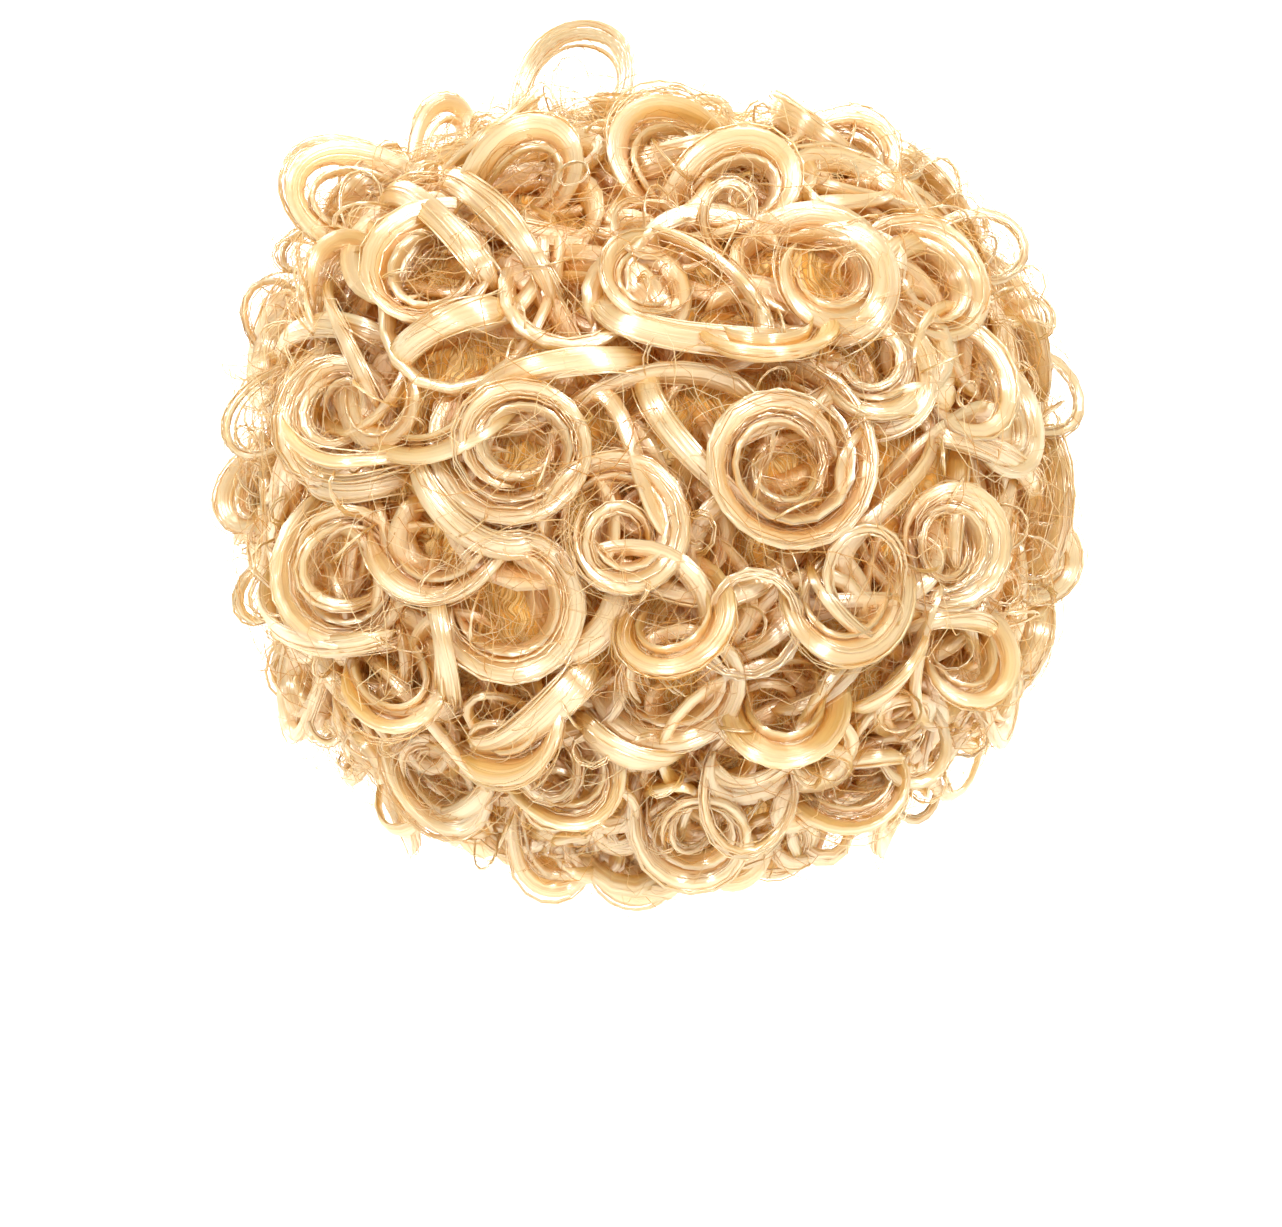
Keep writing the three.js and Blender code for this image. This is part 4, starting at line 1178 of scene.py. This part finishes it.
main = table_curls(CURLS)
thin = within(table_curls(THIN_CURLS), 2.0, 9)
flow = within(table_bands(BANDS), 2.0, 9)
drift = scattered_bands(140, sink=(5 * MM, 13 * MM), length=(45 * MM, 85 * MM), bend=(6 * MM, 16 * MM),
                        lock=(0.6, 1.0))
drift = within(drift, 0.97, 3)
loops = scattered_curls(330, sink=(-3 * MM, 4 * MM), ring=(5 * MM, 9 * MM), turns=(0.8, 1.4), tilt=(45, 90),
                        lock=(0.14, 0.34), dive=(8 * MM, 16 * MM))
fill = scattered_curls(500, sink=(4 * MM, 14 * MM), ring=(12 * MM, 32 * MM), turns=(0.3, 0.95), tilt=(0, 20),
                       lock=(0.55, 1.0), dive=(4 * MM, 16 * MM), spread=(0, 0.9))
fill = within(fill, 0.97, 4)
edge = scattered_curls(1300, sink=(3 * MM, 16 * MM), ring=(7 * MM, 14 * MM), turns=(0.7, 1.3), tilt=(0, 25),
                       lock=(0.4, 0.75), dive=(6 * MM, 16 * MM), spread=(0.8, 0.97))
edge = within(edge, 1.0, 5)
rim = rim_curls(150, ring=(7 * MM, 15 * MM), lock=(0.35, 0.8), tilt=(0, 30))
rim_hairs = rim_curls(420, ring=(8 * MM, 22 * MM), lock=(0.018, 0.03), tilt=(0, 60))
under_curls = joined([fill, edge, rim])
frizz = scattered_curls(3900, sink=(-1 * MM, 15 * MM), ring=(7 * MM, 26 * MM), turns=(0.2, 1.1), tilt=(0, 40),
                        lock=(0.018, 0.034), dive=(0, 16 * MM))
stray = scattered_curls(1200, sink=(-5 * MM, 1 * MM), ring=(6 * MM, 18 * MM), turns=(0.25, 1.2),
                        tilt=(10, 80), lock=(0.018, 0.028), dive=(10 * MM, 26 * MM))
stray = joined([stray, rim_hairs])
fine_hair = fine_hair_material()

for number, zone in enumerate(ZONES):
    big, small, flowing, drifting, under, looped, tangle, loose = (
        chosen(curls, curls["zone"] == number)
        for curls in (main, thin, flow, drift, under_curls, loops, frizz, stray))
    stands = big["lift"][:, 0] > STANDING
    lies = chosen(big, ~stands)
    curl_batches = [
        lock_batch(lies, 32, 12, *(CORE * w for w in widths(lies)), ridges=0.04),
        satellites(lies, 11, 20, 3, (0.25 * MM, 0.65 * MM), (0.86, 1.05), 0.9, 0.5, 0.1),
        satellites(chosen(big, stands), 30, 30, 4, (0.4 * MM, 0.9 * MM), (0.1, 1.0), 1.2, 0.5, 0.3),
        inner_walls(lies, 20, 6),
    ]
    if len(small["zone"]):
        curl_batches.append(lock_batch(small, 22, 8, *(0.6 * w for w in widths(small)), ridges=0.04))
        curl_batches.append(satellites(small, 7, 18, 3, (0.3 * MM, 0.7 * MM), (0.4, 1.0), 1.0, 0.5, 0.2))
    band_batches = []
    if len(flowing["zone"]):
        band_batches += [
            lock_batch(flowing, 20, 10, *(CORE * w for w in widths(flowing)), ridges=0.04),
            satellites(flowing, 11, 18, 3, (0.25 * MM, 0.65 * MM), (0.84, 1.05), 0.8, 0.5, 0.1),
        ]
    band_batches += [
        lock_batch(drifting, 18, 8, *(CORE * w for w in widths(drifting)), ridges=0.05),
        satellites(drifting, 4, 16, 3, (0.3 * MM, 0.7 * MM), (0.75, 1.05), 0.8, 0.5, 0.12),
        satellites(looped, 3, 14, 3, (0.2 * MM, 0.5 * MM), (0.1, 1.0), 1.5, 0.6, 0.5),
        lock_batch(under, 18, 6, *widths(under), ridges=0.06),
        satellites(under, 1, 16, 3, (0.4 * MM, 1.0 * MM), (0.8, 1.2), 1.0),
    ]
    hairs = [
        satellites(big, 5, 16, 3, (0.12 * MM, 0.2 * MM), (0.9, 1.4), 2.0, 1.0, 0.4),
        ring_hairs(big, 14, 13, 3),
    ]
    for curls in (tangle, loose):
        thickness = curls["lock"] * LOCK_WIDTH / 2
        hairs.append(lock_batch(curls, 9, 3, thickness, thickness, taper=(0.3, 0.3)))
    hair = hair_material(f"blonde hair, {zone}", *HAIR_COLOURS[zone])
    locks = mesh_piece(zone + "_curl_locks", curl_batches, hair)
    flows = mesh_piece(zone + "_flowing_locks", band_batches, hair)
    wisps = mesh_piece(zone + "_wisps", hairs, fine_hair)
    for piece in (locks, flows, wisps):
        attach(piece, "root")
        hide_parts(zone + "_hair")

# Floor, light and camera


def sweep(width, depth, height, bend, level):
    """A seamless floor and backdrop: a floor line, a quarter circle and a wall, carried across the width."""
    turn = np.linspace(0, math.pi / 2, 24)
    profile = [(depth, level)]
    profile += [(-depth + bend - bend * math.sin(t), level + bend - bend * math.cos(t)) for t in turn]
    profile += [(-depth, level + height)]
    profile = np.array(profile)
    across = np.linspace(-width / 2, width / 2, 2)
    points = np.array([(x, y, z) for x in across for y, z in profile])
    count = len(profile)
    faces = [(i, i + 1, count + i + 1, count + i) for i in range(count - 1)]
    mesh = bpy.data.meshes.new("sweep")
    mesh.from_pydata(points.tolist(), [], faces)
    piece = bpy.data.objects.new("sweep", mesh)
    bpy.context.scene.collection.objects.link(piece)
    for face in mesh.polygons:
        face.use_smooth = True
    mesh.materials.append(plain_material("matte white paper", ("#FAFAFA", "#F6F6F6"), 0.9))
    return piece


sweep(16, 4.5, 7, 1.5, -0.75)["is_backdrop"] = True


def area_light(name, place, target, size, power, colour=(1, 1, 1)):
    """A square soft light at a place, turned to a target."""
    light = bpy.data.lights.new(name, "AREA")
    light.size = size
    light.energy = power
    light.color = colour
    holder = bpy.data.objects.new(name, light)
    holder.location = place
    holder.rotation_euler = (Vector(target) - Vector(place)).to_track_quat("-Z", "Y").to_euler()
    bpy.context.scene.collection.objects.link(holder)


centre = (0, 0, -0.08)
area_light("key right", (-0.95, 2.0, 0.8), centre, 0.3, 32)
area_light("key left", (1.1, 1.8, 0.9), centre, 0.3, 25)
area_light("top", (0, 0.2, 1.8), centre, 0.9, 18)
area_light("front", (0.4, -1.7, 0.8), centre, 1.0, 20)
for side in (-1, 1):
    area_light("backdrop", (2.6 * side, -1.6, 1.2), (0.6 * side, -4.5, 0.2), 2.0, 130)

world = bpy.data.worlds.new("studio")
world.use_nodes = True
world.node_tree.nodes["Background"].inputs[0].default_value = (1, 0.95, 0.86, 1)
world.node_tree.nodes["Background"].inputs[1].default_value = 0.96
bpy.context.scene.world = world
bpy.context.scene.view_settings.view_transform = "Standard"

SENSOR_WIDTH = 36
CAMERA_DISTANCE = 2.4
FRAME_WIDTH = 0.410
camera_data = bpy.data.cameras.new("camera")
camera_data.sensor_width = SENSOR_WIDTH
camera_data.lens = SENSOR_WIDTH * CAMERA_DISTANCE / FRAME_WIDTH
camera = bpy.data.objects.new("camera", camera_data)
camera.location = (0.0029, 2.42, -0.121)
camera.rotation_euler = (math.pi / 2, 0, math.pi)
bpy.context.scene.collection.objects.link(camera)
bpy.context.scene.camera = camera

boxes = {"cad": cad_box, "visual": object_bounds()}
boxes = {key: [[float(value) for value in corner] for corner in box] for key, box in boxes.items()}
